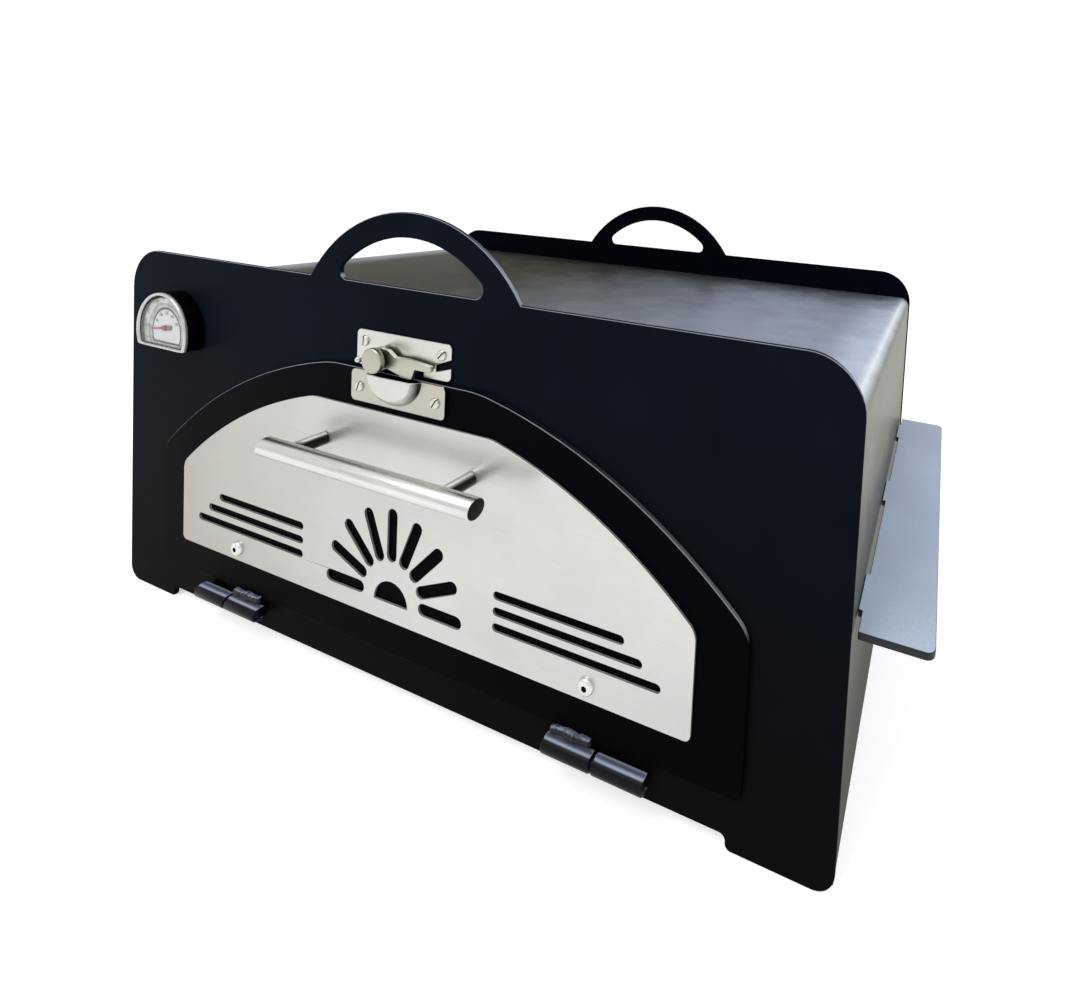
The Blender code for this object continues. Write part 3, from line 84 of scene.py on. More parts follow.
def linear(hex_colour):
    """An sRGB hex colour as linear red, green, blue and a full alpha."""
    shares = [int(hex_colour[i:i + 2], 16) / 255 for i in (1, 3, 5)]
    return [s / 12.92 if s <= 0.04045 else ((s + 0.055) / 1.055) ** 2.4 for s in shares] + [1]


def link(tree, node, links):
    """Links a node's inputs to sockets, or to the first output in use of other nodes."""
    for key, source in links.items():
        if isinstance(source, bpy.types.Node):
            source = next(output for output in source.outputs if output.enabled)
        tree.links.new(source, node.inputs[key])


def add(tree, kind, settings=None, links=None):
    """Adds a shader node, sets its properties and inputs by name or number, and links it."""
    node = tree.nodes.new("ShaderNode" + kind)
    for key, value in (settings or {}).items():
        if isinstance(key, str) and hasattr(node, key):
            setattr(node, key, value)
        else:
            node.inputs[key].default_value = value
    link(tree, node, links or {})
    return node


def ramp(start, end, low=0.0, high=1.0, easing="LINEAR"):
    """What a Map Range node needs to go from low at start to high at end."""
    ends = {"From Min": start, "From Max": end, "To Min": low, "To Max": high}
    return {"interpolation_type": easing, **ends}


def looked_at(tree):
    """Is 1 for what the lens, metal or glass sees, and 0 for what only lights the oven."""
    path = add(tree, "LightPath")
    looked = path.outputs["Is Camera Ray"]
    for ray in ("Is Glossy Ray", "Is Transmission Ray"):
        looked = add(tree, "Math", {"operation": "MAXIMUM"}, {0: looked, 1: path.outputs[ray]})
    return looked


world = bpy.data.worlds.new("white surround")
world.use_nodes = True
bpy.context.scene.world = world
room = world.node_tree
room.nodes.clear()
strength = add(room, "MapRange", ramp(0, 1, ROOM_LIGHT, 1), {"Value": looked_at(room)})
sky = add(room, "Background", {"Color": WHITE}, {"Strength": strength})
add(room, "OutputWorld", None, {"Surface": sky})

floor_finish = bpy.data.materials.new("pale floor paint")
floor_finish.use_nodes = True
tree = floor_finish.node_tree
tree.nodes.clear()
lift = add(tree, "Math", {"operation": "MULTIPLY", 1: FLOOR_GLOW}, {0: looked_at(tree)})
paint = add(tree, "BsdfDiffuse", {"Color": linear("#F4F4F4")})
glow = add(tree, "Emission", {"Color": WHITE}, {"Strength": lift})
both = add(tree, "AddShader", None, {0: paint, 1: glow})
add(tree, "OutputMaterial", None, {"Surface": both})
bpy.ops.object.select_all(action="DESELECT")
bpy.ops.mesh.primitive_plane_add(size=2 * FLOOR_REACH, location=(0, 0, 0))
floor = bpy.context.object
floor.name = "floor"
floor.data.materials.append(floor_finish)


def soft_lamp(name, place, size, power, tint):
    """A square lamp that looks at the oven's middle."""
    lamp = bpy.data.lights.new(name, "AREA")
    lamp.size = size
    lamp.energy = power
    lamp.color = linear(tint)[:3]
    stand = bpy.data.objects.new(name, lamp)
    aim = (LAMP_AIM - Vector(place)).to_track_quat("-Z", "Y").to_matrix()
    stand.matrix_world = Matrix.Translation(place) @ aim.to_4x4()
    bpy.context.scene.collection.objects.link(stand)


FRONT_LAMP_AT = (-0.45, -1.0, 1.45)
SIDE_LAMP_AT = (1.5, 0.3, 1.3)
soft_lamp("lamp over the front", FRONT_LAMP_AT, 1.0, 12, "#FFFFFF")
soft_lamp("lamp over the right side", SIDE_LAMP_AT, 0.7, 8, "#F0F5FF")


# End plates
# Two 3 mm steel plates, laser cut with their feet and carry arches and coated with a satin
# black powder. The coat is thin on the cut edges, which it leaves softly rounded. A painted
# highlight runs pale along the edges that face upwards.
COAT_EDGE = 0.0008
COAT_GRAIN_MM = 0.9
COAT_CLOUD_MM = 70
COAT_FOOT = 0.02
COAT_TOP = 0.23
SAME_PLACE = 0.00001
FLAT_ANGLE = math.radians(0.4)
SHARP_ANGLE = math.radians(32)
plate_low, plate_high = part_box("front_plate")
PLATE_MIDDLE = (plate_low.x + plate_high.x) / 2


def take_up(piece):
    """Makes one piece the only one selected, and the active one."""
    bpy.ops.object.select_all(action="DESELECT")
    piece.select_set(True)
    bpy.context.view_layer.objects.active = piece


def copy_of(node, name):
    """A welded copy of a CAD node's mesh, its flat faces made whole, as a piece of its own."""
    piece = bpy.data.objects.new(name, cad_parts[node].data.copy())
    bpy.context.scene.collection.objects.link(piece)
    piece.data.materials.clear()
    take_up(piece)
    bpy.ops.mesh.customdata_custom_splitnormals_clear()
    bpy.ops.object.mode_set(mode="EDIT")
    bpy.ops.mesh.select_all(action="SELECT")
    bpy.ops.mesh.remove_doubles(threshold=SAME_PLACE)
    bpy.ops.mesh.dissolve_limited(angle_limit=FLAT_ANGLE)
    bpy.ops.object.mode_set(mode="OBJECT")
    return piece


def work(piece, kind, **settings):
    """Gives a piece one modifier and applies it."""
    take_up(piece)
    step = piece.modifiers.new(kind.lower(), kind)
    for key, value in settings.items():
        setattr(step, key, value)
    bpy.ops.object.modifier_apply(modifier=step.name)


def ease(piece, width, steps=2):
    """Rounds the sharp edges of a piece, and leaves its flat faces flat to the light."""
    take_up(piece)
    bpy.ops.object.shade_smooth()
    work(
        piece, "BEVEL", width=width, segments=steps, limit_method="ANGLE", angle_limit=SHARP_ANGLE,
        use_clamp_overlap=False, harden_normals=True,
    )
    return piece


def finish_with(piece, material, body, slot, *nodes):
    """Gives a piece its finish, hangs it on its body and lets it stand for CAD nodes."""
    piece.data.materials.clear()
    piece.data.materials.append(material)
    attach(piece, body)
    if nodes:
        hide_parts(*nodes)


def start_finish(name, settings):
    """A new material: it, its nodes, its shader, and the places and directions they can read."""
    material = bpy.data.materials.new(name)
    material.use_nodes = True
    tree = material.node_tree
    shader = tree.nodes["Principled BSDF"]
    for key, value in settings.items():
        shader.inputs[key].default_value = value
    read = add(tree, "TexCoord")
    return material, tree, shader, read.outputs["Object"], read.outputs["Normal"]


# A colour Mix node's inputs: how much of its second tone it takes, and its two tones.
MIX_SHARE, MIX_FIRST, MIX_SECOND = 0, 6, 7
TINTED = {"data_type": "RGBA", "blend_type": "MULTIPLY", MIX_SHARE: 1.0}
NOISE_LOW = 0.3
NOISE_HIGH = 0.7


def tones(first=None, second=None):
    """What a colour Mix node needs, with those of its tones that are plain colours."""
    given = {MIX_FIRST: first, MIX_SECOND: second}
    return {"data_type": "RGBA", **{key: linear(tone) for key, tone in given.items() if tone}}


def cloudy(low, high):
    """What a Map Range node needs to spread a noise from low to high."""
    return ramp(NOISE_LOW, NOISE_HIGH, low, high)


def powder_coat(name, colours, roughness, gloss, painted_highlight=None, patch=COAT_CLOUD_MM, vary=0.15):
    """Satin powder coat: fine orange peel, and a tone that goes slowly from the first colour at
    the oven's foot to the second at its top: painted light from above. The optional paler colour
    is a painted highlight where the coat turns upwards (colour, how steeply, how wide): a thin line
    along edges, a band along barrels."""
    material, tree, shader, place, way = start_finish(name, {"Specular IOR Level": gloss})
    cloud = add(tree, "TexNoise", {"Scale": 1000 / patch, "Detail": 3}, {"Vector": place})
    peel = add(tree, "TexNoise", {"Scale": 1000 / COAT_GRAIN_MM, "Detail": 2}, {"Vector": place})
    spot = add(tree, "SeparateXYZ", None, {0: place})
    height = add(tree, "MapRange", ramp(COAT_FOOT, COAT_TOP), {"Value": spot.outputs["Z"]})
    colour = add(tree, "Mix", tones(*colours), {MIX_SHARE: height})
    if painted_highlight:
        sheen, steepness, width = painted_highlight
        rise = add(tree, "SeparateXYZ", None, {0: way}).outputs["Z"]
        off = add(tree, "Math", {"operation": "SUBTRACT", 1: steepness}, {0: rise})
        off = add(tree, "Math", {"operation": "ABSOLUTE"}, {0: off})
        near = add(tree, "MapRange", ramp(0, width, 1, 0, "SMOOTHSTEP"), {"Value": off})
        colour = add(tree, "Mix", tones(None, sheen), {MIX_SHARE: near, MIX_FIRST: colour})
    tone = add(tree, "MapRange", cloudy(1 - vary, 1 + vary), {"Value": cloud})
    colour = add(tree, "Mix", TINTED, {MIX_FIRST: colour, MIX_SECOND: tone})
    dull = add(tree, "MapRange", cloudy(roughness - 0.04, roughness + 0.05), {"Value": cloud})
    bump = add(tree, "Bump", {"Strength": 0.25, "Distance": 0.0001}, {"Height": peel})
    link(tree, shader, {"Base Color": colour, "Roughness": dull, "Normal": bump})
    return material


# A painted highlight: a thin pale line along the edges that face upwards.
edge_painted_highlight = ("#9AA0AC", 0.6, 0.38)
# Painted light: the coat darkens towards the foot and turns bluer towards the top.
plate_colours = ("#0D0D0D", "#10151F")
black_coat = powder_coat("black powder coat on steel plate", plate_colours, 0.46, 0.006, edge_painted_highlight)
front_plate = ease(copy_of("front_plate", "front_end_plate"), COAT_EDGE)
finish_with(front_plate, black_coat, "root", "black_powder_coat", "front_plate")
# Darker than the front plate's coat: painted shade.
back_painted_shade_colours = ("#060607", "#050811")
back_coat = powder_coat("black powder coat on the back plate", back_painted_shade_colours, 0.5, 0.006)
back_plate = ease(copy_of("back_plate", "back_end_plate"), COAT_EDGE)
finish_with(back_plate, back_coat, "root", "black_powder_coat", "back_plate")


# Shell
# One sheet of 1.5 mm mill-finish steel, bent over the top and down both sides. It shows the
# rolling mill's dull mottle and slight waves. Light is painted into its tone: darker at the top's
# left and the sides' foot, brighter to the right and upwards, with a painted highlight on the bends.
MOTTLE_MM = 22
SHEET_GRAIN_MM = 1.4
WAVE_MM = 130
WAVE_HEIGHT = 0.0009
SHEET_EDGE = 0.0003
# Where the painted light on the sheet fades in, and where the painted glow and painted highlight
# along the bends lie.
TOP_DIM_UNTIL = PLATE_MIDDLE - 0.12
TOP_BRIGHT_FROM = PLATE_MIDDLE + 0.25
SIDE_DIM_UNTIL = 0.02
SIDE_BRIGHT_FROM = 0.22
GLOW_REACH = 0.05
GLOW_END = 0.008
GLOW_SHARE = 0.7
TURN_REACH = 0.011
TURN_END = 0.0005
PEAK_SHARE = 1.7
sheet_low, sheet_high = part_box("shell")
half_width = (sheet_high.x - sheet_low.x) / 2
top_painted_light = ramp(TOP_DIM_UNTIL, TOP_BRIGHT_FROM, 0, 1, "SMOOTHSTEP")
side_painted_light = ramp(SIDE_DIM_UNTIL, SIDE_BRIGHT_FROM, 0, 1, "SMOOTHSTEP")
bend_painted_glow = ramp(half_width - GLOW_REACH, half_width - GLOW_END, 0, GLOW_SHARE, "SMOOTHSTEP")
bend_turn = ramp(half_width - TURN_REACH, half_width - TURN_END)
sheet, tree, shader, place, way = start_finish("mill finish steel sheet", {"Metallic": 1})
spot = add(tree, "SeparateXYZ", None, {0: place})
across = add(tree, "MapRange", top_painted_light, {"Value": spot.outputs["X"]})
down = add(tree, "MapRange", side_painted_light, {"Value": spot.outputs["Z"]})
off = {"operation": "SUBTRACT", 1: PLATE_MIDDLE}
from_middle = add(tree, "Math", off, {0: spot.outputs["X"]})
from_middle = add(tree, "Math", {"operation": "ABSOLUTE"}, {0: from_middle})
near_bend_painted_glow = add(tree, "MapRange", bend_painted_glow, {"Value": from_middle})
round_bend = add(tree, "MapRange", bend_turn, {"Value": from_middle})
bend_painted_highlight = add(tree, "Math", {"operation": "PINGPONG", 1: 0.5}, {0: round_bend})
bend_painted_highlight = add(tree, "Math", {"operation": "MULTIPLY", 1: PEAK_SHARE}, {0: bend_painted_highlight})
# Painted light in the sheet's colour: the top brighter to the right, a painted glow near the bends,
# the sides brighter upwards, and a painted highlight on the bends.
top = add(tree, "Mix", tones("#64645F", "#989FAD"), {MIX_SHARE: across})
top = add(tree, "Mix", tones(None, "#D8E1F1"), {MIX_SHARE: near_bend_painted_glow, MIX_FIRST: top})
painted_flank = add(tree, "Mix", tones("#6D6D6A", "#96978F"), {MIX_SHARE: down})
tone = add(tree, "Mix", tones(), {MIX_SHARE: round_bend, MIX_FIRST: top, MIX_SECOND: painted_flank})
tone = add(tree, "Mix", tones(None, "#F0F5FF"), {MIX_SHARE: bend_painted_highlight, MIX_FIRST: tone})
# The same painted light again in the tint of what the sheet mirrors: painted reflection.
top = add(tree, "Mix", tones("#969690", "#D4DAE6"), {MIX_SHARE: across})
painted_flank = add(tree, "Mix", tones("#8C8C88", "#CBCBC6"), {MIX_SHARE: down})
painted_grazing_tint = add(tree, "Mix", tones(), {MIX_SHARE: round_bend, MIX_FIRST: top, MIX_SECOND: painted_flank})
painted_grazing_tint = add(tree, "Mix", tones(None, "#FFFFFF"), {MIX_SHARE: bend_painted_highlight, MIX_FIRST: painted_grazing_tint})
mottled = {"Scale": 1000 / MOTTLE_MM, "Detail": 5, "Roughness": 0.6}
mottle = add(tree, "TexNoise", mottled, {"Vector": place})
grain = add(tree, "TexNoise", {"Scale": 1000 / SHEET_GRAIN_MM, "Detail": 2}, {"Vector": place})
dull = add(tree, "MapRange", ramp(0.25, 0.75, 0.86, 1.12), {"Value": mottle})
speck = add(tree, "MapRange", cloudy(0.95, 1.05), {"Value": grain})
dull = add(tree, "Math", {"operation": "MULTIPLY"}, {0: dull, 1: speck})
tone = add(tree, "Mix", TINTED, {MIX_FIRST: tone, MIX_SECOND: dull})
sheen = add(tree, "MapRange", cloudy(0.36, 0.44), {"Value": mottle})
wave = add(tree, "TexNoise", {"Scale": 1000 / WAVE_MM, "Detail": 1}, {"Vector": place})
bump = add(tree, "Bump", {"Strength": 1.0, "Distance": WAVE_HEIGHT}, {"Height": wave})
fine = {"Strength": 0.05, "Distance": 0.00002}
bump = add(tree, "Bump", fine, {"Height": grain, "Normal": bump})
link(tree, shader, {"Base Color": tone, "Specular Tint": painted_grazing_tint, "Roughness": sheen, "Normal": bump})
shell = ease(copy_of("shell", "bent_shell"), SHEET_EDGE)
finish_with(shell, sheet, "root", "mill_finish_sheet", "shell")


# Side shelf
# A flat steel bar on three short tabs, welded to the right wall. Its top has a blue-grey coat
# with a fine grain; its cut edges and underside are painted near black, as painted shade.
SHELF_GRAIN_MM = 1.1
SHELF_EDGE = 0.0007
coat_gloss = {"Specular IOR Level": 0.3, "Roughness": 0.45}
shelf_name = "blue-grey textured coat on bar steel"
shelf_coat, tree, shader, place, way = start_finish(shelf_name, coat_gloss)
facing_way = add(tree, "NewGeometry").outputs["Normal"]
rise = add(tree, "SeparateXYZ", None, {0: facing_way}).outputs["Z"]
up = add(tree, "MapRange", ramp(0.72, 0.98, 0, 1, "SMOOTHSTEP"), {"Value": rise})
grained = {"Scale": 1000 / SHELF_GRAIN_MM, "Detail": 3, "Roughness": 0.7}
grain = add(tree, "TexNoise", grained, {"Vector": place})
cloud = add(tree, "TexNoise", {"Scale": 1000 / COAT_CLOUD_MM, "Detail": 2}, {"Vector": place})
speck = add(tree, "Mix", tones("#A4B3C9", "#CBDAED"), {MIX_SHARE: grain})
soft = add(tree, "MapRange", cloudy(0.92, 1.08), {"Value": cloud})
speck = add(tree, "Mix", TINTED, {MIX_FIRST: speck, MIX_SECOND: soft})
# Every face that does not look up is painted near black: painted shade.
colour = add(tree, "Mix", tones("#101217"), {MIX_SHARE: up, MIX_SECOND: speck})
bump = add(tree, "Bump", {"Strength": 0.4, "Distance": 0.00015}, {"Height": grain})
link(tree, shader, {"Base Color": colour, "Normal": bump})
shelf = ease(copy_of("side_shelf", "side_shelf_bar"), SHELF_EDGE, 3)
finish_with(shelf, shelf_coat, "root", "shelf_coat", "side_shelf")


# Door
# A 3 mm steel door with an arched top that is cut flat under the latch, in the same black
# coat as the plates, a little smoother because it was wiped down.
# The door's colours are set darker than the plates': painted shade. Its upturned edges take the
# plates' painted highlight.
door_painted_shade_colours = ("#040405", "#07090E")
door_coat = powder_coat("black powder coat on the door", door_painted_shade_colours, 0.42, 0.006, edge_painted_highlight)
door = ease(copy_of("door_panel", "arched_door"), COAT_EDGE)
finish_with(door, door_coat, "door", "black_powder_coat", "door_panel")


# Door facing
# A 1.5 mm stainless sheet, brushed from side to side, with laser-cut slots and a fan of slots
# that show the black door behind them. Its left is painted darker, as painted shade, and it is
# soft all over.
BRUSH_LENGTH_MM = 30
BRUSH_PITCH_MM = 0.45
STEEL_CLOUD_MM = 60
FACING_EDGE = 0.0002
FACING_METAL = 0.6
facing_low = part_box("door_facing")[0]


def brushed_steel(
    name, colours, roughness, along, contrast=1.0, left_painted_shade=None, painted_flank=None, metal=1
):
    """Brushed stainless: long fine lines along one axis that scatter the light across them. A
    wide sheet can be painted darker towards its left, as painted shade: where that ends, and the
    tone there. A polished piece can take a painted reflection of the dark, in a tone, where it
    turns to the right."""
    material, tree, shader, place, way = start_finish(name, {"Metallic": metal})
    scales = [1000 / BRUSH_PITCH_MM] * 3
    scales["XYZ".index(along)] = 1000 / BRUSH_LENGTH_MM
    stretch = add(tree, "Mapping", {"Scale": scales}, {"Vector": place})
    fine = {"Scale": 1.0, "Detail": 4, "Roughness": 0.65}
    line = add(tree, "TexNoise", fine, {"Vector": stretch})
    cloud = add(tree, "TexNoise", {"Scale": 1000 / STEEL_CLOUD_MM, "Detail": 3}, {"Vector": place})
    spread = 0.25 / contrast
    share = add(tree, "MapRange", ramp(0.5 - spread, 0.5 + spread), {"Value": line})
    colour = add(tree, "Mix", tones(*colours), {MIX_SHARE: share})
    soft = add(tree, "MapRange", cloudy(0.95, 1.05), {"Value": cloud})
    colour = add(tree, "Mix", TINTED, {MIX_FIRST: colour, MIX_SECOND: soft})
    if left_painted_shade:
        start, end, dimmest = left_painted_shade
        spot = add(tree, "SeparateXYZ", None, {0: place})
        share = add(tree, "MapRange", ramp(start, end), {"Value": spot.outputs["X"]})
        dim = add(tree, "Mix", tones(dimmest, "#FFFFFF"), {MIX_SHARE: share})
        colour = add(tree, "Mix", TINTED, {MIX_FIRST: colour, MIX_SECOND: dim})
    if painted_flank:
        right = add(tree, "SeparateXYZ", None, {0: way}).outputs["X"]
        turned = add(tree, "MapRange", ramp(0.45, 0.8), {"Value": right})
        colour = add(tree, "Mix", tones(None, painted_flank), {MIX_SHARE: turned, MIX_FIRST: colour})
    rough = add(tree, "MapRange", ramp(0, 1, roughness - 0.06, roughness + 0.08), {"Value": line})
    bump = add(tree, "Bump", {"Strength": 0.35, "Distance": 0.00005}, {"Height": line})
    link(tree, shader, {"Base Color": colour, "Roughness": rough, "Normal": bump})
    return material


facing_name = "brushed stainless facing sheet"
facing_colours = ("#C8C6C2", "#D3D3D1")
# Painted shade: the sheet darkens from its middle towards its left edge.
facing_painted_shade = (facing_low.x, PLATE_MIDDLE, "#D3D1C8")
facing_steel = brushed_steel(
    facing_name, facing_colours, 0.36, "X", 0.7, facing_painted_shade, None, FACING_METAL
)
facing = ease(copy_of("door_facing", "stainless_facing"), FACING_EDGE)
finish_with(facing, facing_steel, "door", "brushed_stainless", "door_facing")


# Facing screws
# Two M6 button-head socket screws of stainless steel, through the facing and the door. The
# sockets are painted dark: grime and painted shade.
SOCKET_ACROSS = 0.0034
SOCKET_DEPTH = 0.0013
SOCKET_REACH_SHARE = 0.52
HEAD_SET_BACK = 0.0008
HEAD_ROUND_SHARE = 0.8
SHANK_RADIUS = 0.0029
SUNK = 0.0005
CUT_OVER = 0.001
NEAR = 0.0001
JUST_INSIDE = 0.00005
RIM_STEP = 0.0022


def cut_with(piece, cutter, way="DIFFERENCE"):
    """Takes the cutter's shape out of a piece, or joins it in, and removes the cutter."""
    work(piece, "BOOLEAN", operation=way, solver="EXACT", object=cutter)
    bpy.data.objects.remove(cutter)


def set_down(name, scale=(1, 1, 1)):
    """Names the primitive just added and puts its scale, turn and place into its mesh."""
    piece = bpy.context.object
    piece.name = name
    piece.scale = scale
    bpy.ops.object.transform_apply(location=True, rotation=True, scale=True)
    return piece


def rod(name, radius, start, end, along="Y", sides=64):
    """A round bar between two points on one axis, its place in its mesh."""
    turn = {"X": (0, math.pi / 2, 0), "Y": (math.pi / 2, 0, 0), "Z": (0, 0, 0)}[along]
    middle = (Vector(start) + Vector(end)) / 2
    length = (Vector(end) - Vector(start)).length
    bpy.ops.object.select_all(action="DESELECT")
    bpy.ops.mesh.primitive_cylinder_add(
        vertices=sides, radius=radius, depth=length, location=middle, rotation=turn
    )
    return set_down(name)


def pin_along_y(name, radius, centre, front, back, sides):
    """A round bar from front to back about a centre."""
    ends = [(centre.x, y, centre.z) for y in (front, back)]
    return rod(name, radius, *ends, sides=sides)


def pick(piece, kind, test):
    """Goes into edit mode with those of a piece's parts selected for which a test holds."""
    take_up(piece)
    bpy.ops.object.mode_set(mode="EDIT")
    bpy.ops.mesh.select_mode(type=kind)
    bpy.ops.mesh.select_all(action="DESELECT")
    bpy.ops.object.mode_set(mode="OBJECT")
    mesh = piece.data
    for part in {"VERT": mesh.vertices, "EDGE": mesh.edges, "FACE": mesh.polygons}[kind]:
        part.select = test(part)
    bpy.ops.object.mode_set(mode="EDIT")


def ends_of(piece, edge):
    """The places of an edge's two ends."""
    return [piece.data.vertices[i].co for i in edge.vertices]


def round_rim(piece, test, width, steps):
    """Rounds the short edges round a rim that lie wholly where a test of their place holds."""
    def on_rim(edge):
        start, end = ends_of(piece, edge)
        return test(start) and test(end) and (start - end).length < RIM_STEP

    pick(piece, "EDGE", on_rim)
    bpy.ops.mesh.bevel(offset=width, segments=steps, profile=0.5)
    bpy.ops.object.mode_set(mode="OBJECT")


def smooth(piece, angle=35):
    """Shades round work smooth and keeps its corners crisp."""
    take_up(piece)
    bpy.ops.object.shade_smooth_by_angle(angle=math.radians(angle))
    return piece


def middle_of(node):
    """The middle of a CAD node's box."""
    low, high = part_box(node)
    return (low + high) / 2


def paint_faces(piece, material, test):
    """Gives a further finish to the faces of a piece where a test holds."""
    piece.data.materials.append(material)
    for face in piece.data.polygons:
        if test(face):
            face.material_index = len(piece.data.materials) - 1


screw_colours = ("#C4C4C0", "#E2E2DE")
screw_steel = brushed_steel("stainless steel, machined", screw_colours, 0.28, "X", 0.6)
# The sockets' dark paint stands for grime and for painted shade in the recess.
grime_and_shade_colours = ("#12110D", "#1E1C16")
socket_grime_and_shade = powder_coat("grime and painted shade in the screws' sockets", grime_and_shade_colours, 0.7, 0.1)
for side in ("left", "right"):
    node = "facing_screw_" + side
    low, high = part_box(node)
    centre = middle_of(node)
    radius = (high.x - low.x) / 2
    seat = facing_low.y
    crown = low.y + HEAD_SET_BACK
    bottom = crown + SOCKET_DEPTH
    head = pin_along_y("button_screw_" + side, radius, centre, crown, seat, 72)
    round_rim(head, lambda co: co.y < crown + NEAR, (seat - crown) * HEAD_ROUND_SHARE, 8)
    socket_radius = SOCKET_ACROSS / math.sqrt(3)
    cut_with(head, pin_along_y("socket", socket_radius, centre, crown - CUT_OVER, bottom, 6))
    smooth(head)
    finish_with(head, screw_steel, "door", "brushed_stainless")

    def in_socket(face):
        off = math.hypot(face.center.x - centre.x, face.center.z - centre.z)
        deep = crown + JUST_INSIDE < face.center.y < bottom + JUST_INSIDE
        return deep and off < SOCKET_ACROSS * SOCKET_REACH_SHARE

    paint_faces(head, socket_grime_and_shade, in_socket)
    shank = pin_along_y("screw_shank_" + side, SHANK_RADIUS, centre, seat - SUNK, high.y, 32)
    round_rim(shank, lambda co: co.y > high.y - NEAR, 0.0005, 2)
    smooth(shank)
    finish_with(shank, screw_steel, "door", "brushed_stainless", node)


# Bar handle
# A T-bar of brushed stainless tube with flat, slightly rounded ends, on two polished posts that
# are screwed on from behind the door. The bar's ends are painted dark, a painted reflection of
# the dark, and the posts darken where they turn to the right, a painted reflection too.
BAR_SHORT_LEFT = 0.0095
BAR_SHORT_RIGHT = 0.0020
BAR_RIM = 0.0007
POST_RIM = 0.0005
bar_low, bar_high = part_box("handle_bar")
bar_centre = middle_of("handle_bar")
bar_radius = (bar_high.z - bar_low.z) / 2
bar_left = bar_low.x + BAR_SHORT_LEFT
bar_right = bar_high.x - BAR_SHORT_RIGHT
bar_ends = [(x, bar_centre.y, bar_centre.z) for x in (bar_left, bar_right)]
bar_steel = brushed_steel("brushed stainless handle bar", ("#B9B8B5", "#DEDDDA"), 0.27, "X")
# The flat ends are painted dark: a painted reflection of the dark.
end_painted_dark_colours = ("#1E1E18", "#2E2E27")
end_painted_reflection = brushed_steel("turned bar end, painted dark as mirrored shade", end_painted_dark_colours, 0.4, "Z", 0.7)
bar = rod("t_bar", bar_radius, *bar_ends, "X", 96)
round_rim(bar, lambda co: not bar_left + NEAR <= co.x <= bar_right - NEAR, BAR_RIM, 3)
smooth(bar)
finish_with(bar, bar_steel, "door", "brushed_stainless", "handle_bar")
paint_faces(bar, end_painted_reflection, lambda face: abs(face.normal.x) > 0.9)
# The posts darken where they turn to the right: a painted reflection of the dark.
post_steel = brushed_steel(
    "polished stainless posts", ("#B4B3B0", "#DAD9D6"), 0.2, "Y", 0.7, None, "#2A2A22"
)
for side in ("left", "right"):
    node = "handle_post_" + side
    low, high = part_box(node)
    radius = (high.x - low.x) / 2
    post = pin_along_y("turned_post_" + side, radius, middle_of(node), bar_centre.y, high.y, 64)
    round_rim(post, lambda co: co.y > high.y - NEAR, POST_RIM, 2)
    smooth(post)
    finish_with(post, post_steel, "door", "brushed_stainless", node)


# Hinges
# Weld-on barrel hinges. The outer barrels are welded to the plate, the inner ones to the
# door with a lumpy bead. All are coated with the door, and turn on steel pins. A painted
# highlight lies as a pale band along the barrels' tops and on the beads.
BORE_RADIUS = 0.0033
BORE_SINK = 0.0012
BARREL_RIM = 0.0009
PIN_RIM = 0.0006
BEAD_SEED = 7
BEAD_LUMPS = 11
BEAD_END = 0.003
BEAD_FORWARD = 0.0012
BEAD_DROP = 0.0036
BEAD_WANDER = 0.0004
LUMP_RADII = (0.0018, 0.0024)
LUMP_SHAPE = (0.9, 1.1, 1.35)
BEAD_VOXEL = 0.0004
# Painted highlights: a pale band where the barrels and the beads turn upwards.
barrel_painted_highlight = ("#A9B6CE", 0.93, 0.1)
barrel_colours = ("#0B0D13", "#14171C")
hinge_coat = powder_coat("black coat on hinge barrels", barrel_colours, 0.34, 0.1, barrel_painted_highlight)
bead_painted_highlight = ("#78859A", 0.8, 0.35)
bead_colours = ("#11151C", "#3A404A")
bead_coat = powder_coat(
    "coat over the rough weld beads", bead_colours, 0.42, 0.2, bead_painted_highlight, patch=2.2, vary=0.85
)
pin_steel = brushed_steel("oiled steel hinge pins", ("#1A1B1E", "#26272B"), 0.35, "X", 0.6)


def bar_along_x(name, radius, low, high, y, z, sides):
    """A round bar as long as a box is wide."""
    return rod(name, radius, (low.x, y, z), (high.x, y, z), "X", sides)


def join_all(pieces, name):
    """Makes several pieces one."""
    bpy.ops.object.select_all(action="DESELECT")
    for piece in pieces:
        piece.select_set(True)
    bpy.context.view_layer.objects.active = pieces[0]
    bpy.ops.object.join()
    pieces[0].name = name
    return pieces[0]


def soften(piece, voxel, times):
    """Makes one skin over a piece and settles it, as on weld beads, castings and pressings."""
    work(piece, "REMESH", mode="VOXEL", voxel_size=voxel)
    work(piece, "SMOOTH", factor=0.5, iterations=times)
    bpy.ops.object.shade_smooth()


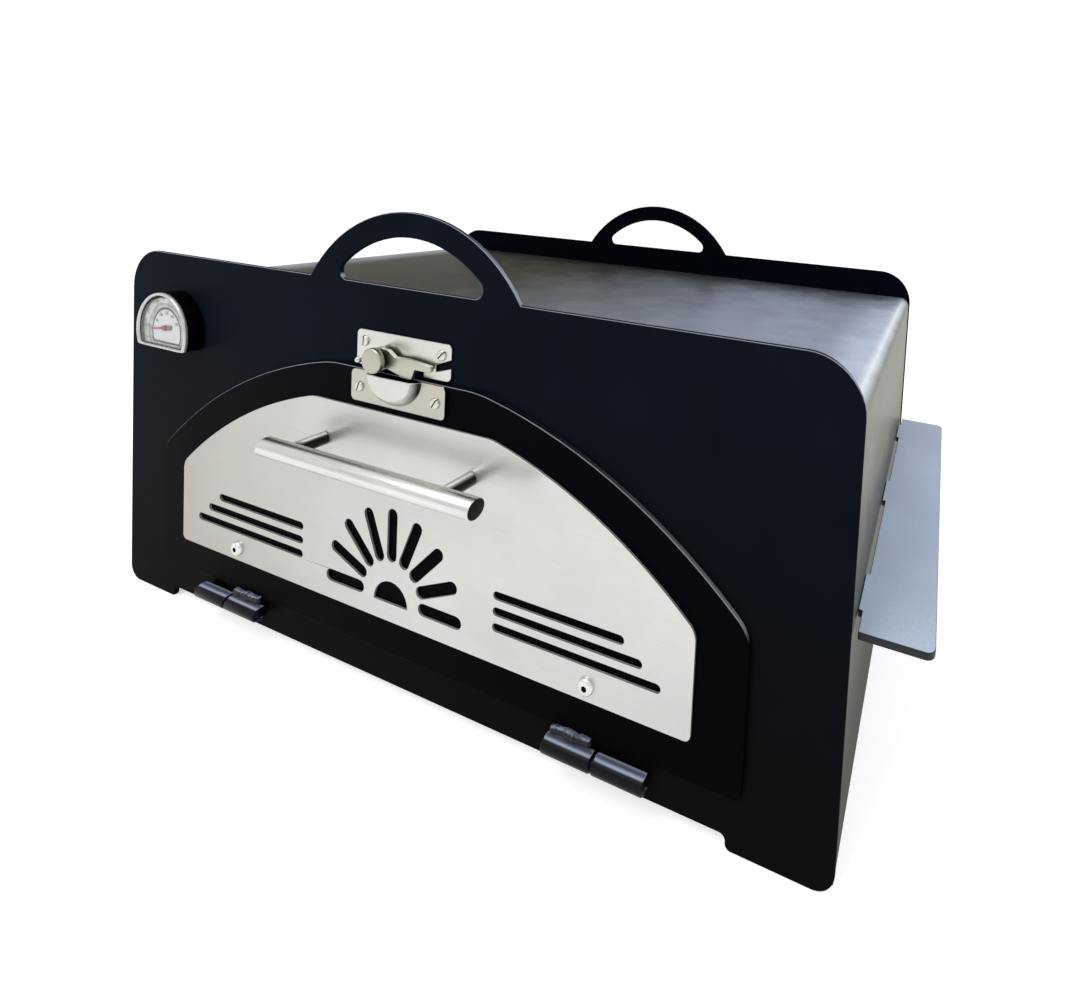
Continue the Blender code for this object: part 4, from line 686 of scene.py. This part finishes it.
random.seed(BEAD_SEED)
for side in ("left", "right"):
    barrel_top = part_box("hinge_" + side + "_frame_knuckle")[1].z
    for part, body in (("frame", "root"), ("door", "door")):
        node = "hinge_" + side + "_" + part + "_knuckle"
        low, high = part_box(node)
        radius = (barrel_top - low.z) / 2
        axis_y = low.y + radius
        axis_z = low.z + radius
        barrel = bar_along_x("barrel_" + side + "_" + part, radius, low, high, axis_y, axis_z, 80)
        pick(barrel, "FACE", lambda face: abs(face.normal.x) > 0.9)
        bpy.ops.mesh.inset(thickness=radius - BORE_RADIUS, use_individual=True)
        bpy.ops.mesh.extrude_faces_move(TRANSFORM_OT_shrink_fatten={"value": -BORE_SINK})
        bpy.ops.object.mode_set(mode="OBJECT")

        def on_barrel_rim(co):
            at_end = abs(co.x - low.x) < NEAR or abs(co.x - high.x) < NEAR
            return at_end and math.hypot(co.y - axis_y, co.z - axis_z) > radius - NEAR

        round_rim(barrel, on_barrel_rim, BARREL_RIM, 4)
        smooth(barrel)
        finish_with(barrel, hinge_coat, body, "black_powder_coat", node)
    low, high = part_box("hinge_" + side + "_door_knuckle")
    lumps = []
    for i in range(BEAD_LUMPS):
        share = (i + 0.5) / BEAD_LUMPS
        along = low.x + BEAD_END + (high.x - low.x - 2 * BEAD_END) * share
        deep = axis_y + BEAD_FORWARD + random.uniform(-BEAD_WANDER, BEAD_WANDER)
        tall = high.z - BEAD_DROP + random.uniform(-BEAD_WANDER, BEAD_WANDER / 2)
        size = random.uniform(*LUMP_RADII)
        where = (along, deep, tall)
        bpy.ops.object.select_all(action="DESELECT")
        bpy.ops.mesh.primitive_uv_sphere_add(segments=24, ring_count=14, radius=size, location=where)
        lumps.append(set_down("lump", LUMP_SHAPE))
    bead = join_all(lumps, "weld_bead_" + side)
    soften(bead, BEAD_VOXEL, 3)
    finish_with(bead, bead_coat, "door", "black_powder_coat")
    node = "hinge_" + side + "_pin"
    low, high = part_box(node)
    centre = middle_of(node)
    pin = bar_along_x("pin_" + side, (high.z - low.z) / 2, low, high, centre.y, centre.z, 48)
    round_rim(pin, lambda co: abs(co.x - centre.x) > (high.x - low.x) / 2 - NEAR, PIN_RIM, 3)
    smooth(pin)
    finish_with(pin, pin_steel, "root", "brushed_stainless", node)


# Latch plate
# The upper half of the turn latch: a pressed plate of satin nickel with soft edges and a wedge
# notch, held by two slotted oval-head screws. A small round-headed rivet sits at its lower left.
NICKEL_CLOUD_MM = 9
NICKEL_GRAIN_MM = 1.6
PLATE_VOXEL = 0.00028
RIVET_ROUND = 0.0019
SCREW_SLOT = 0.0009
SLOT_DEPTH = 0.0007
SLOT_REACH_SHARE = 0.52
OVAL_ROUND_SHARE = 0.85
OVAL_SUNK = 0.0002


def satin_nickel(name, colours, roughness, metallic=1, painted_flank=None, painted_front_highlight=None):
    """Nickel plate, tumbled: warm and pale, a little cloudy, with soft reflections. A pressed
    piece can take a painted reflection of the dark, in a colour, where its surface turns to the
    right, and a painted highlight on its raised front (from which depth on, to which depth, its
    colour)."""
    material, tree, shader, place, way = start_finish(name, {"Metallic": metallic})
    clouded = {"Scale": 1000 / NICKEL_CLOUD_MM, "Detail": 4}
    cloud = add(tree, "TexNoise", clouded, {"Vector": place})
    colour = add(tree, "Mix", tones(*colours), {MIX_SHARE: cloud})
    if painted_front_highlight:
        start, end, paler = painted_front_highlight
        spot = add(tree, "SeparateXYZ", None, {0: place})
        out = add(tree, "MapRange", ramp(start, end), {"Value": spot.outputs["Y"]})
        colour = add(tree, "Mix", tones(None, paler), {MIX_SHARE: out, MIX_FIRST: colour})
    if painted_flank:
        right = add(tree, "SeparateXYZ", None, {0: way}).outputs["X"]
        turned = add(tree, "MapRange", ramp(0.3, 0.75), {"Value": right})
        colour = add(tree, "Mix", tones(None, painted_flank), {MIX_SHARE: turned, MIX_FIRST: colour})
    rough = add(tree, "MapRange", cloudy(roughness - 0.05, roughness + 0.06), {"Value": cloud})
    grain = add(tree, "TexNoise", {"Scale": 1000 / NICKEL_GRAIN_MM, "Detail": 2}, {"Vector": place})
    bump = add(tree, "Bump", {"Strength": 0.2, "Distance": 0.0001}, {"Height": grain})
    link(tree, shader, {"Base Color": colour, "Roughness": rough, "Normal": bump})
    return material


nickel = satin_nickel("satin nickel plate", ("#BCBBB2", "#CFCECA"), 0.34)
latch_plate = copy_of("latch_plate", "latch_top_plate")
soften(latch_plate, PLATE_VOXEL, 5)
finish_with(latch_plate, nickel, "root", "nickel_plate", "latch_plate")
low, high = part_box("latch_rivet")
radius = (high.x - low.x) / 2
rivet = pin_along_y("rivet_head", radius, middle_of("latch_rivet"), low.y, high.y, 48)
round_rim(rivet, lambda co: co.y < low.y + NEAR, RIVET_ROUND, 8)
smooth(rivet)
finish_with(rivet, nickel, "root", "nickel_plate", "latch_rivet")
# Grime and painted shade in the screw slots: the slot faces are painted dark.
slot_grime_and_shade = powder_coat("grime and painted shade in screw slots", ("#151410", "#2A2820"), 0.7, 0.1)


def block(name, size, place, turn=(0, 0, 0)):
    """A box of a size at a place, its place in its mesh."""
    bpy.ops.object.select_all(action="DESELECT")
    bpy.ops.mesh.primitive_cube_add(size=1, location=place, rotation=turn)
    return set_down(name, size)


def slotted_screw(node, name, seat, slant, body):
    """An oval-head screw, its slot left at some angle, standing in for a CAD screw."""
    low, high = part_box(node)
    centre = middle_of(node)
    radius = (high.x - low.x) / 2
    turn = math.radians(slant)
    head = pin_along_y(name, radius, centre, low.y, seat + OVAL_SUNK, 56)
    round_rim(head, lambda co: co.y < low.y + NEAR, (seat - low.y) * OVAL_ROUND_SHARE, 5)
    blade_size = (3 * radius, 2 * SLOT_DEPTH, SCREW_SLOT)
    cut_with(head, block("blade", blade_size, (centre.x, low.y, centre.z), (0, turn, 0)))
    smooth(head)
    finish_with(head, nickel, body, "nickel_plate", node)

    def in_slot(face):
        off = face.center - centre
        across = abs(off.x * math.sin(turn) + off.z * math.cos(turn))
        return across < SLOT_REACH_SHARE * SCREW_SLOT and face.center.y > low.y + JUST_INSIDE

    paint_faces(head, slot_grime_and_shade, in_slot)


latch_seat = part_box("latch_plate")[0].y
slotted_screw("latch_screw_left", "latch_oval_screw_left", latch_seat, -86, "root")
slotted_screw("latch_screw_right", "latch_oval_screw_right", latch_seat, -46, "root")


# Latch lever
# A turned knob on a neck, and behind it a flat arm with a boss round the pivot. The arm's
# tongue hangs down to the pocket below. All are satin nickel; the neck is painted near black, as
# painted shade beside the knob.
KNOB_RADIUS = 0.0083
KNOB_THICKNESS = 0.0038
KNOB_RIM = 0.0011
NECK_RADIUS = 0.0060
NECK_CLEAR = 0.0002
BOSS_RADIUS = 0.0078
BOSS_STEPS = 30
BOSS_START = math.radians(64)
BOSS_END = math.radians(316)
ARM_THICKNESS = 0.0024
ARM_EDGE = 0.0005
ARM_FORWARD = 0.0063
lever_low, lever_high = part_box("latch_lever")
knob_nickel = satin_nickel("satin nickel knob", ("#A5A294", "#B2AFA2"), 0.36)
arm_nickel = satin_nickel("satin nickel arm, a little dulled", ("#A6A596", "#B6B5A8"), 0.36)
# The neck is painted near black: painted shade beside the knob.
neck_painted_shade = satin_nickel("nickel neck, painted dark as the knob's shade", ("#15140F", "#23221B"), 0.5)
knob_x = lever_low.x + KNOB_RADIUS
knob_z = lever_high.z - KNOB_RADIUS
knob_at = Vector((knob_x, 0, knob_z))
knob_back = lever_low.y + KNOB_THICKNESS
knob = pin_along_y("latch_knob", KNOB_RADIUS, knob_at, lever_low.y, knob_back, 96)
round_rim(knob, lambda co: True, KNOB_RIM, 5)
smooth(knob)
finish_with(knob, knob_nickel, "latch_lever", "nickel_plate")
neck_back = plate_low.y - NECK_CLEAR
neck = pin_along_y("latch_neck", NECK_RADIUS, knob_at, knob_back - NECK_CLEAR, neck_back, 64)
smooth(neck)
finish_with(neck, neck_painted_shade, "latch_lever", "nickel_plate")

# The arm's outline from the knob's middle: down round the tongue, out to the arm's end, back
# along its top to the boss, and round the boss.
tip = lever_low.z - knob_z
reach = lever_high.x - knob_x
ARM_OUTLINE = [
    (0.0175, -0.0083), (0.0175, tip + 0.0006), (0.0181, tip), (0.0273, tip), (0.0280, tip + 0.0006),
    (0.0300, -0.0027), (reach - 0.0008, -0.0025), (reach, -0.0018), (reach, 0.0008),
    (reach - 0.0008, 0.0016), (0.0335, 0.0026), (0.0232, 0.0034), (0.0134, 0.0030), (0.0092, 0.0056),
    (0.0075, 0.0066), (0.0062, 0.0070),
]
for i in range(BOSS_STEPS + 1):
    angle = BOSS_START + (BOSS_END - BOSS_START) * i / BOSS_STEPS
    ARM_OUTLINE.append((BOSS_RADIUS * math.cos(angle), BOSS_RADIUS * math.sin(angle)))


def flat_shape(name, corners, thickness, edge, place):
    """A flat piece with rounded edges from its outline, standing upright at a place."""
    line = bpy.data.curves.new(name, "CURVE")
    line.dimensions = "2D"
    line.fill_mode = "BOTH"
    line.extrude = thickness / 2 - edge
    line.bevel_depth = edge
    line.bevel_resolution = 3
    line.offset = -edge
    outline = line.splines.new("POLY")
    outline.points.add(len(corners) - 1)
    for point, (x, z) in zip(outline.points, corners):
        point.co = (x, z, 0, 1)
    outline.use_cyclic_u = True
    piece = bpy.data.objects.new(name, line)
    bpy.context.scene.collection.objects.link(piece)
    take_up(piece)
    bpy.ops.object.convert(target="MESH")
    piece = bpy.context.object
    piece.data.transform(Matrix.Translation(place) @ Matrix.Rotation(math.pi / 2, 4, "X"))
    bpy.ops.object.mode_set(mode="EDIT")
    bpy.ops.mesh.select_all(action="SELECT")
    bpy.ops.mesh.remove_doubles(threshold=SAME_PLACE)
    bpy.ops.mesh.normals_make_consistent(inside=False)
    bpy.ops.object.mode_set(mode="OBJECT")
    return smooth(piece, 40)


arm_at = (knob_x, plate_low.y - ARM_FORWARD + ARM_THICKNESS / 2, knob_z)
arm = flat_shape("latch_arm", ARM_OUTLINE, ARM_THICKNESS, ARM_EDGE, arm_at)
finish_with(arm, arm_nickel, "latch_lever", "nickel_plate", "latch_lever")


# Keeper
# The lower half of the latch, screwed to the door: a plate with a half-round pocket that was
# pressed up out of it and is open at the top, where the lever's tongue comes down.
KEEPER_THICKNESS = 0.0015
KEEPER_CORNER = 0.0035
POCKET_HALF_WIDTH = 0.0235
POCKET_DROP = 0.0188
POCKET_LEFT = 0.0018
POCKET_SWELL = 1.6
POCKET_WALL = 0.0011
PALER_FROM = 0.0024
PALER_TO = 0.0008
KEEPER_VOXEL = 0.0003
AROUND = 0.01
BEYOND = 0.03
keeper_low, keeper_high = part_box("keeper_plate")
keeper_middle = (keeper_low + keeper_high) / 2
keeper_seat = keeper_high.y - KEEPER_THICKNESS
keeper = block(
    "keeper_with_pocket",
    (keeper_high.x - keeper_low.x, KEEPER_THICKNESS, keeper_high.z - keeper_low.z),
    (keeper_middle.x, keeper_high.y - KEEPER_THICKNESS / 2, keeper_middle.z),
)


def through_plate(edge):
    """Says whether an edge of the keeper runs from its front to its back."""
    start, end = ends_of(keeper, edge)
    return abs(start.y - end.y) > KEEPER_THICKNESS / 2


pick(keeper, "EDGE", through_plate)
bpy.ops.mesh.bevel(offset=KEEPER_CORNER, segments=10, profile=0.5)
bpy.ops.object.mode_set(mode="OBJECT")


def pocket_dome(name, shrink):
    """An egg with its front pressed flat, cut off later at the keeper's top and at its back."""
    front_y = keeper_low.y + shrink
    depth = POCKET_SWELL * (keeper_high.y - front_y)
    place = (keeper_middle.x - POCKET_LEFT, keeper_high.y, keeper_high.z)
    bpy.ops.object.select_all(action="DESELECT")
    bpy.ops.mesh.primitive_uv_sphere_add(segments=96, ring_count=64, radius=1, location=place)
    dome = set_down(name, (POCKET_HALF_WIDTH - shrink, depth, POCKET_DROP - shrink))
    bpy.ops.object.mode_set(mode="EDIT")
    bpy.ops.mesh.select_all(action="SELECT")
    pressed_at = (keeper_middle.x, front_y, keeper_high.z)
    bpy.ops.mesh.bisect(plane_co=pressed_at, plane_no=(0, -1, 0), use_fill=True, clear_outer=True)
    bpy.ops.object.mode_set(mode="OBJECT")
    return dome


cut_with(keeper, pocket_dome("dome", 0), "UNION")
cut_with(keeper, pocket_dome("hollow", POCKET_WALL))
above = (keeper_low.y - AROUND, keeper_high.z)
behind = (keeper_high.y, keeper_low.z - BEYOND)
for waste_start in (above, behind):
    start = Vector((keeper_low.x - AROUND, *waste_start))
    end = Vector((keeper_high.x + AROUND, keeper_high.y + BEYOND, keeper_high.z + BEYOND))
    cut_with(keeper, block("waste", end - start, (start + end) / 2))
soften(keeper, KEEPER_VOXEL, 6)
# Painted light on the keeper: a painted highlight on the pocket's front and a painted reflection of
# the dark on its right flank.
pocket_painted_highlight = (keeper_low.y + PALER_FROM, keeper_low.y + PALER_TO, "#C2C2BC")
keeper_nickel = satin_nickel(
    "satin nickel keeper", ("#A6A498", "#B8B6AB"), 0.34, 1, "#24231C", pocket_painted_highlight
)
finish_with(keeper, keeper_nickel, "door", "nickel_plate", "keeper_plate")
slotted_screw("keeper_screw_left", "keeper_oval_screw_left", keeper_seat, -69, "door")
slotted_screw("keeper_screw_right", "keeper_oval_screw_right", keeper_seat, -57, "door")


# Thermometer
# A half-round case of chromed steel with a deep drum, a rolled rim and a turned bowl that slopes
# back to a white enamel dial with printed ticks and numbers, a red pointer and a flat pane.
CASE_CORNER = 0.009
RIM_DEPTH = 0.0022
ROLL_RADIUS = 0.0012
ROLL_RISE = 0.0013
ROLL_STEPS = 8
FOOT_ROLL_SHARE = 0.75
# From the dark band inside the rolled rim, painted as shade, down the turned bowl: how deep
# behind the front, how far in from the round and how far up from the foot.
BOWL_STEPS = (
    (0.0020, 0.0027, 0.0019), (0.0029, 0.0040, 0.0020), (0.0034, 0.0060, 0.0021),
    (0.0037, 0.0082, 0.0022),
)
DIAL_SET_IN = 0.0002
DIAL_SEAT_DEPTH = 0.0004
DIAL_ROOM = 0.0006
SHADE_BAND_START = 0.0014
BOWL_START = 0.0029
BOWL_RING_MM = 1.1
BOWL_SMEAR_MM = 7
case_low, case_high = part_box("thermometer_case")
dial_low, dial_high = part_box("thermometer_dial")
pane_low, pane_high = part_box("thermometer_glass")
gauge_x = (case_low.x + case_high.x) / 2
gauge_z = middle_of("thermometer_spindle").z
CASE_RADIUS = (case_high.x - case_low.x) / 2
round_z = case_high.z - CASE_RADIUS
CASE_FOOT = round_z - case_low.z
dial_side = (dial_high.x - dial_low.x) / 2
dial_top = dial_high.z - round_z
dial_foot = dial_low.z - round_z
front = case_low.y


def half_round(name, y):
    """A ring of edges: a circle cut off straight below, its two corners rounded."""
    bpy.ops.object.select_all(action="DESELECT")
    bpy.ops.mesh.primitive_circle_add(
        vertices=144, radius=CASE_RADIUS, location=(gauge_x, y, round_z),
        rotation=(math.pi / 2, 0, 0),
    )
    ring = set_down(name)
    foot_at = (gauge_x, y, case_low.z)
    bpy.ops.object.mode_set(mode="EDIT")
    bpy.ops.mesh.select_mode(type="VERT")
    bpy.ops.mesh.select_all(action="SELECT")
    bpy.ops.mesh.bisect(plane_co=foot_at, plane_no=(0, 0, 1), clear_inner=True)
    bpy.ops.object.mode_set(mode="OBJECT")
    pick(ring, "VERT", lambda vertex: abs(vertex.co.z - case_low.z) < SAME_PLACE)
    bpy.ops.mesh.edge_face_add()
    bpy.ops.mesh.bevel(offset=CASE_CORNER, segments=10, affect="VERTICES")
    bpy.ops.mesh.select_all(action="SELECT")
    return ring


class Wall:
    """Draws a ring of edges along and inwards, keeping its top, foot and sides in step."""

    def __init__(self, y):
        self.y = y
        self.side, self.top, self.foot = CASE_RADIUS, CASE_RADIUS, -CASE_FOOT

    def to(self, y, side, top, foot, extrude=True):
        if extrude:
            bpy.ops.mesh.extrude_edges_move(TRANSFORM_OT_translate={"value": (0, 0, 0)})
        tall = (top - foot) / (self.top - self.foot)
        stretch = (side / self.side, 1, tall)
        bpy.ops.transform.resize(value=stretch, center_override=(gauge_x, 0, round_z))
        bpy.ops.transform.translate(value=(0, y - self.y, top - self.top * tall))
        self.y, self.side, self.top, self.foot = y, side, top, foot

    def step_in(self, deep, inset, foot_inset):
        """Goes to a depth behind the case's front, in from its round and up from its foot."""
        self.to(front + deep, CASE_RADIUS - inset, CASE_RADIUS - inset, foot_inset - CASE_FOOT)


case = half_round("thermometer_rim_case", case_high.y)
wall = Wall(case_high.y)
wall.step_in(RIM_DEPTH, 0, 0)
wall.step_in(ROLL_RISE, 0, 0)
for i in range(1, ROLL_STEPS + 1):
    turn = math.pi * i / ROLL_STEPS
    inset = ROLL_RADIUS * (1 - math.cos(turn))
    wall.step_in(ROLL_RISE * (1 - math.sin(turn)), inset, inset * FOOT_ROLL_SHARE)
for step in BOWL_STEPS:
    wall.step_in(*step)
lip = dial_low.y - DIAL_SET_IN
wall.to(lip, dial_side + DIAL_ROOM, dial_top + DIAL_ROOM, dial_foot - DIAL_ROOM / 6)
seat = dial_low.y + DIAL_SEAT_DEPTH
wall.to(seat, dial_side + DIAL_ROOM / 2, dial_top + DIAL_ROOM / 2, dial_foot)
bpy.ops.mesh.edge_face_add()
bpy.ops.object.mode_set(mode="OBJECT")
pick(case, "VERT", lambda vertex: vertex.co.y > case_high.y - SAME_PLACE)
bpy.ops.mesh.edge_face_add()
bpy.ops.mesh.select_all(action="SELECT")
bpy.ops.mesh.normals_make_consistent(inside=False)
bpy.ops.object.mode_set(mode="OBJECT")
smooth(case, 40)
chrome = satin_nickel("chrome on the thermometer", ("#B4B7B3", "#CDD0D0"), 0.2, 0.6)
# The drum behind the rim is painted near black: a painted reflection of the black plate.
drum_painted_reflection_colours = ("#0C0D0F", "#1A1B1E")
drum = satin_nickel("chromed drum, painted dark as the black plate's reflection", drum_painted_reflection_colours, 0.3)
seal_name = "black rubber seals and painted shade of the thermometer"
seal_rubber_and_shade = powder_coat(seal_name, ("#1B1C1E", "#232427"), 0.6, 0.1)

# Turned steel: fine rings round the dial's middle, smeared with a painted reflection of what
# the bowl mirrors.
bowl, tree, shader, place, way = start_finish(
    "turned steel bowl round the dial", {"Metallic": 0.8, "Roughness": 0.3}
)
to_middle = {"operation": "ADD", 1: (-gauge_x, 0, -round_z)}
from_middle = add(tree, "VectorMath", to_middle, {0: place})
far = add(tree, "VectorMath", {"operation": "LENGTH"}, {0: from_middle})
rings = {"noise_dimensions": "1D", "Scale": 1000 / BOWL_RING_MM, "Detail": 1}
ring = add(tree, "TexNoise", rings, {"W": far})
painted_smear = add(tree, "TexNoise", {"Scale": 1000 / BOWL_SMEAR_MM, "Detail": 2}, {"Vector": place})
dark = add(tree, "Math", {"operation": "MULTIPLY"}, {0: ring, 1: painted_smear})
dark = add(tree, "MapRange", ramp(0.16, 0.34), {"Value": dark})
colour = add(tree, "Mix", tones("#64675C", "#C6C8C2"), {MIX_SHARE: dark})
link(tree, shader, {"Base Color": colour})
finish_with(case, chrome, "root", "chrome", "thermometer_case")


def faces_out(face):
    """Says whether a face of the case looks away from its middle."""
    across, up = face.center.x - gauge_x, face.center.z - round_z
    return face.normal.x * across + face.normal.z * up > 0


def in_case(face, start, end):
    """Says whether a face lies inside the case, between two depths behind its front."""
    return not faces_out(face) and start <= face.center.y - front < end


case_depth = case_high.y - front
paint_faces(case, drum, lambda face: faces_out(face) and face.center.y > front + RIM_DEPTH)
# The band just inside the rolled rim is painted dark: painted shade in its groove.
paint_faces(case, seal_rubber_and_shade, lambda face: in_case(face, SHADE_BAND_START, BOWL_START))
paint_faces(case, bowl, lambda face: in_case(face, BOWL_START, 2 * case_depth))


def half_round_plate(name, back, thickness, side, top, foot):
    """A flat plate of the case's outline at a smaller size."""
    plate = half_round(name, back)
    Wall(back).to(back, side, top, foot, extrude=False)
    bpy.ops.mesh.edge_face_add()
    bpy.ops.mesh.extrude_region_move(TRANSFORM_OT_translate={"value": (0, -thickness, 0)})
    bpy.ops.mesh.select_all(action="SELECT")
    bpy.ops.mesh.normals_make_consistent(inside=False)
    bpy.ops.object.mode_set(mode="OBJECT")
    return smooth(plate)


# The dial: fired white enamel, a little cloudy, in a thin black seal.
DIAL_EDGE = 0.0013
SEAL_LOWER = 0.00005
ENAMEL_CLOUD_MM = 8
enamel, tree, shader, place, way = start_finish("white enamel dial", {"Roughness": 0.5})
cloud = add(tree, "TexNoise", {"Scale": 1000 / ENAMEL_CLOUD_MM, "Detail": 3}, {"Vector": place})
colour = add(tree, "Mix", tones("#DCDEDE", "#E9EAEA"), {MIX_SHARE: cloud})
link(tree, shader, {"Base Color": colour})
dial_depth = dial_high.y - dial_low.y
inner = (dial_side - DIAL_EDGE, dial_top - DIAL_EDGE, dial_foot + DIAL_EDGE)
dial = half_round_plate("enamel_dial", dial_high.y, dial_depth, *inner)
finish_with(dial, enamel, "root", "white_dial", "thermometer_dial")
outer = (dial_side, dial_top, dial_foot)
seal = half_round_plate("dial_seal", dial_high.y, dial_depth - SEAL_LOWER, *outer)
finish_with(seal, seal_rubber_and_shade, "root", "white_dial")

# The print on the dial: 19 ticks, every third one longer, and round numbers inside them.
MARK_THICKNESS = 0.0001
TICKS = 19
TICK_RADIUS = 0.0166
LONG_TICK = (0.0011, MARK_THICKNESS, 0.00045)
SHORT_TICK = (0.0007, MARK_THICKNESS, 0.0003)
NUMBERS = 5
NUMBER_STEP = 50
NUMBER_RADIUS = 0.0140
NUMBER_HEIGHT = 0.0032
ink = powder_coat("black dial printing ink", ("#3A3C40", "#55585C"), 0.5, 0.4)


def on_dial(radius, angle):
    """A place on the dial's face, at an angle from its left."""
    across, up = radius * math.cos(angle), radius * math.sin(angle)
    return gauge_x - across, dial_low.y - MARK_THICKNESS / 2, round_z + up


marks = []
for i in range(TICKS):
    angle = math.pi * i / (TICKS - 1)
    size = SHORT_TICK if i % 3 else LONG_TICK
    marks.append(block("tick", size, on_dial(TICK_RADIUS - size[0] / 2, angle), (0, angle, 0)))
for i in range(1, NUMBERS + 1):
    bpy.ops.object.select_all(action="DESELECT")
    bpy.ops.object.text_add()
    number = bpy.context.object
    number.data.body = str(NUMBER_STEP * i)
    number.data.align_x = "CENTER"
    number.data.align_y = "CENTER"
    number.data.size = NUMBER_HEIGHT
    number.data.extrude = MARK_THICKNESS / 2
    bpy.ops.object.convert(target="MESH")
    number = bpy.context.object
    where = on_dial(NUMBER_RADIUS, math.pi * i / (NUMBERS + 1))
    number.data.transform(Matrix.Translation(where) @ Matrix.Rotation(math.pi / 2, 4, "X"))
    marks.append(number)
scale_marks = join_all(marks, "dial_scale")
finish_with(scale_marks, ink, "root", "white_dial")

# The pointer: stamped thin, lacquered red, on a small hub. At rest it points left and a
# little below level.
HUB_RADIUS = 0.0022
HUB_RIM = 0.00015
POINTER_EDGE = 0.00008
POINTER_TURN = math.radians(7.5)
POINTER_HALF = [(-0.0173, 0.0003), (-0.0047, 0.0008), (-0.0045, 0.0015), (-0.0041, 0.0018)]
POINTER_TAIL = [(0.0065, 0.0018), (0.0070, 0.0015)]
needle_low, needle_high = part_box("thermometer_needle")
lacquer = powder_coat("red lacquer on the pointer", ("#781420", "#86202B"), 0.35, 0.2)
gauge_at = Vector((gauge_x, (needle_low.y + needle_high.y) / 2, gauge_z))
hub = pin_along_y("pointer_hub", HUB_RADIUS, gauge_at, needle_low.y, needle_high.y, 48)
round_rim(hub, lambda co: co.y < needle_low.y + NEAR, HUB_RIM, 2)
smooth(hub)
finish_with(hub, lacquer, "thermometer_needle", "red_pointer")
upper_half = POINTER_HALF + POINTER_TAIL
lower_half = [(x, -z) for x, z in upper_half]
lean = Matrix.Rotation(POINTER_TURN, 2)
corners = upper_half[:1] + lower_half + upper_half[:0:-1]
outline = [tuple(lean @ Vector(point)) for point in corners]
pointer = flat_shape("pointer", outline, needle_high.y - needle_low.y, POINTER_EDGE, gauge_at)
finish_with(pointer, lacquer, "thermometer_needle", "red_pointer", "thermometer_needle")

# The pane: clear flat glass with a faint film on it.
FILM_MM = 6
PANE_INSET = 0.0045
PANE_FOOT = 0.0024
clear = {"Base Color": linear("#F4F7F6"), "Alpha": 0.1, "Specular IOR Level": 0.2}
glass, tree, shader, place, way = start_finish("clear flat glass", clear)
film = add(tree, "TexNoise", {"Scale": 1000 / FILM_MM, "Detail": 3}, {"Vector": place})
rough = add(tree, "MapRange", ramp(0, 1, 0, 0.05), {"Value": film})
link(tree, shader, {"Roughness": rough})
pane_radius = CASE_RADIUS - PANE_INSET
pane_edge = (pane_radius, pane_radius, PANE_FOOT - CASE_FOOT)
pane = half_round_plate("flat_pane", pane_high.y, pane_high.y - pane_low.y, *pane_edge)
finish_with(pane, glass, "root", "clear_glass", "thermometer_glass")


# Inside the oven
# A slotted deck plate on two angle rails carries the baking stone, which is dry cordierite:
# sandy, patchy and gritty. Nuts, washers and screw ends sit behind the door and the plate.
STONE_PATCH_MM = 40
STONE_GRIT_MM = 1.8
inner_steel = brushed_steel("plain steel inside", ("#7E7E7C", "#A2A29F"), 0.38, "Y", 0.6)
zinc = satin_nickel("zinc-plated nuts and washers", ("#B5B7BA", "#CFD1D3"), 0.32)
stone, tree, shader, place, way = start_finish("cordierite baking stone", {"Roughness": 0.9})
patchy = {"Scale": 1000 / STONE_PATCH_MM, "Detail": 5, "Roughness": 0.6}
patch = add(tree, "TexNoise", patchy, {"Vector": place})
grit = add(tree, "TexVoronoi", {"Scale": 1000 / STONE_GRIT_MM}, {"Vector": place})
colour = add(tree, "Mix", tones("#BBA988", "#D3C4A6"), {MIX_SHARE: patch})
speck = add(tree, "MapRange", ramp(0, 0.35, 0.78, 1), {"Value": grit})
colour = add(tree, "Mix", TINTED, {MIX_FIRST: colour, MIX_SECOND: speck})
bump = add(tree, "Bump", {"Strength": 0.5, "Distance": 0.0002}, {"Height": grit})
link(tree, shader, {"Base Color": colour, "Normal": bump})
steel_nodes = ("deck_plate", "stone_rail_left", "stone_rail_right")
zinc_nodes = (
    "facing_nut_left", "facing_nut_right", "handle_screw_left", "handle_screw_right",
    "latch_washer", "latch_nut", "thermometer_stem", "thermometer_nut",
)
for material, nodes in (
    (inner_steel, steel_nodes), (stone, ("pizza_stone",)), (zinc, zinc_nodes),
    (lacquer, ("thermometer_spindle",)),
):
    for node in nodes:
        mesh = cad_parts[node].data
        mesh.materials.clear()
        mesh.materials.append(material)
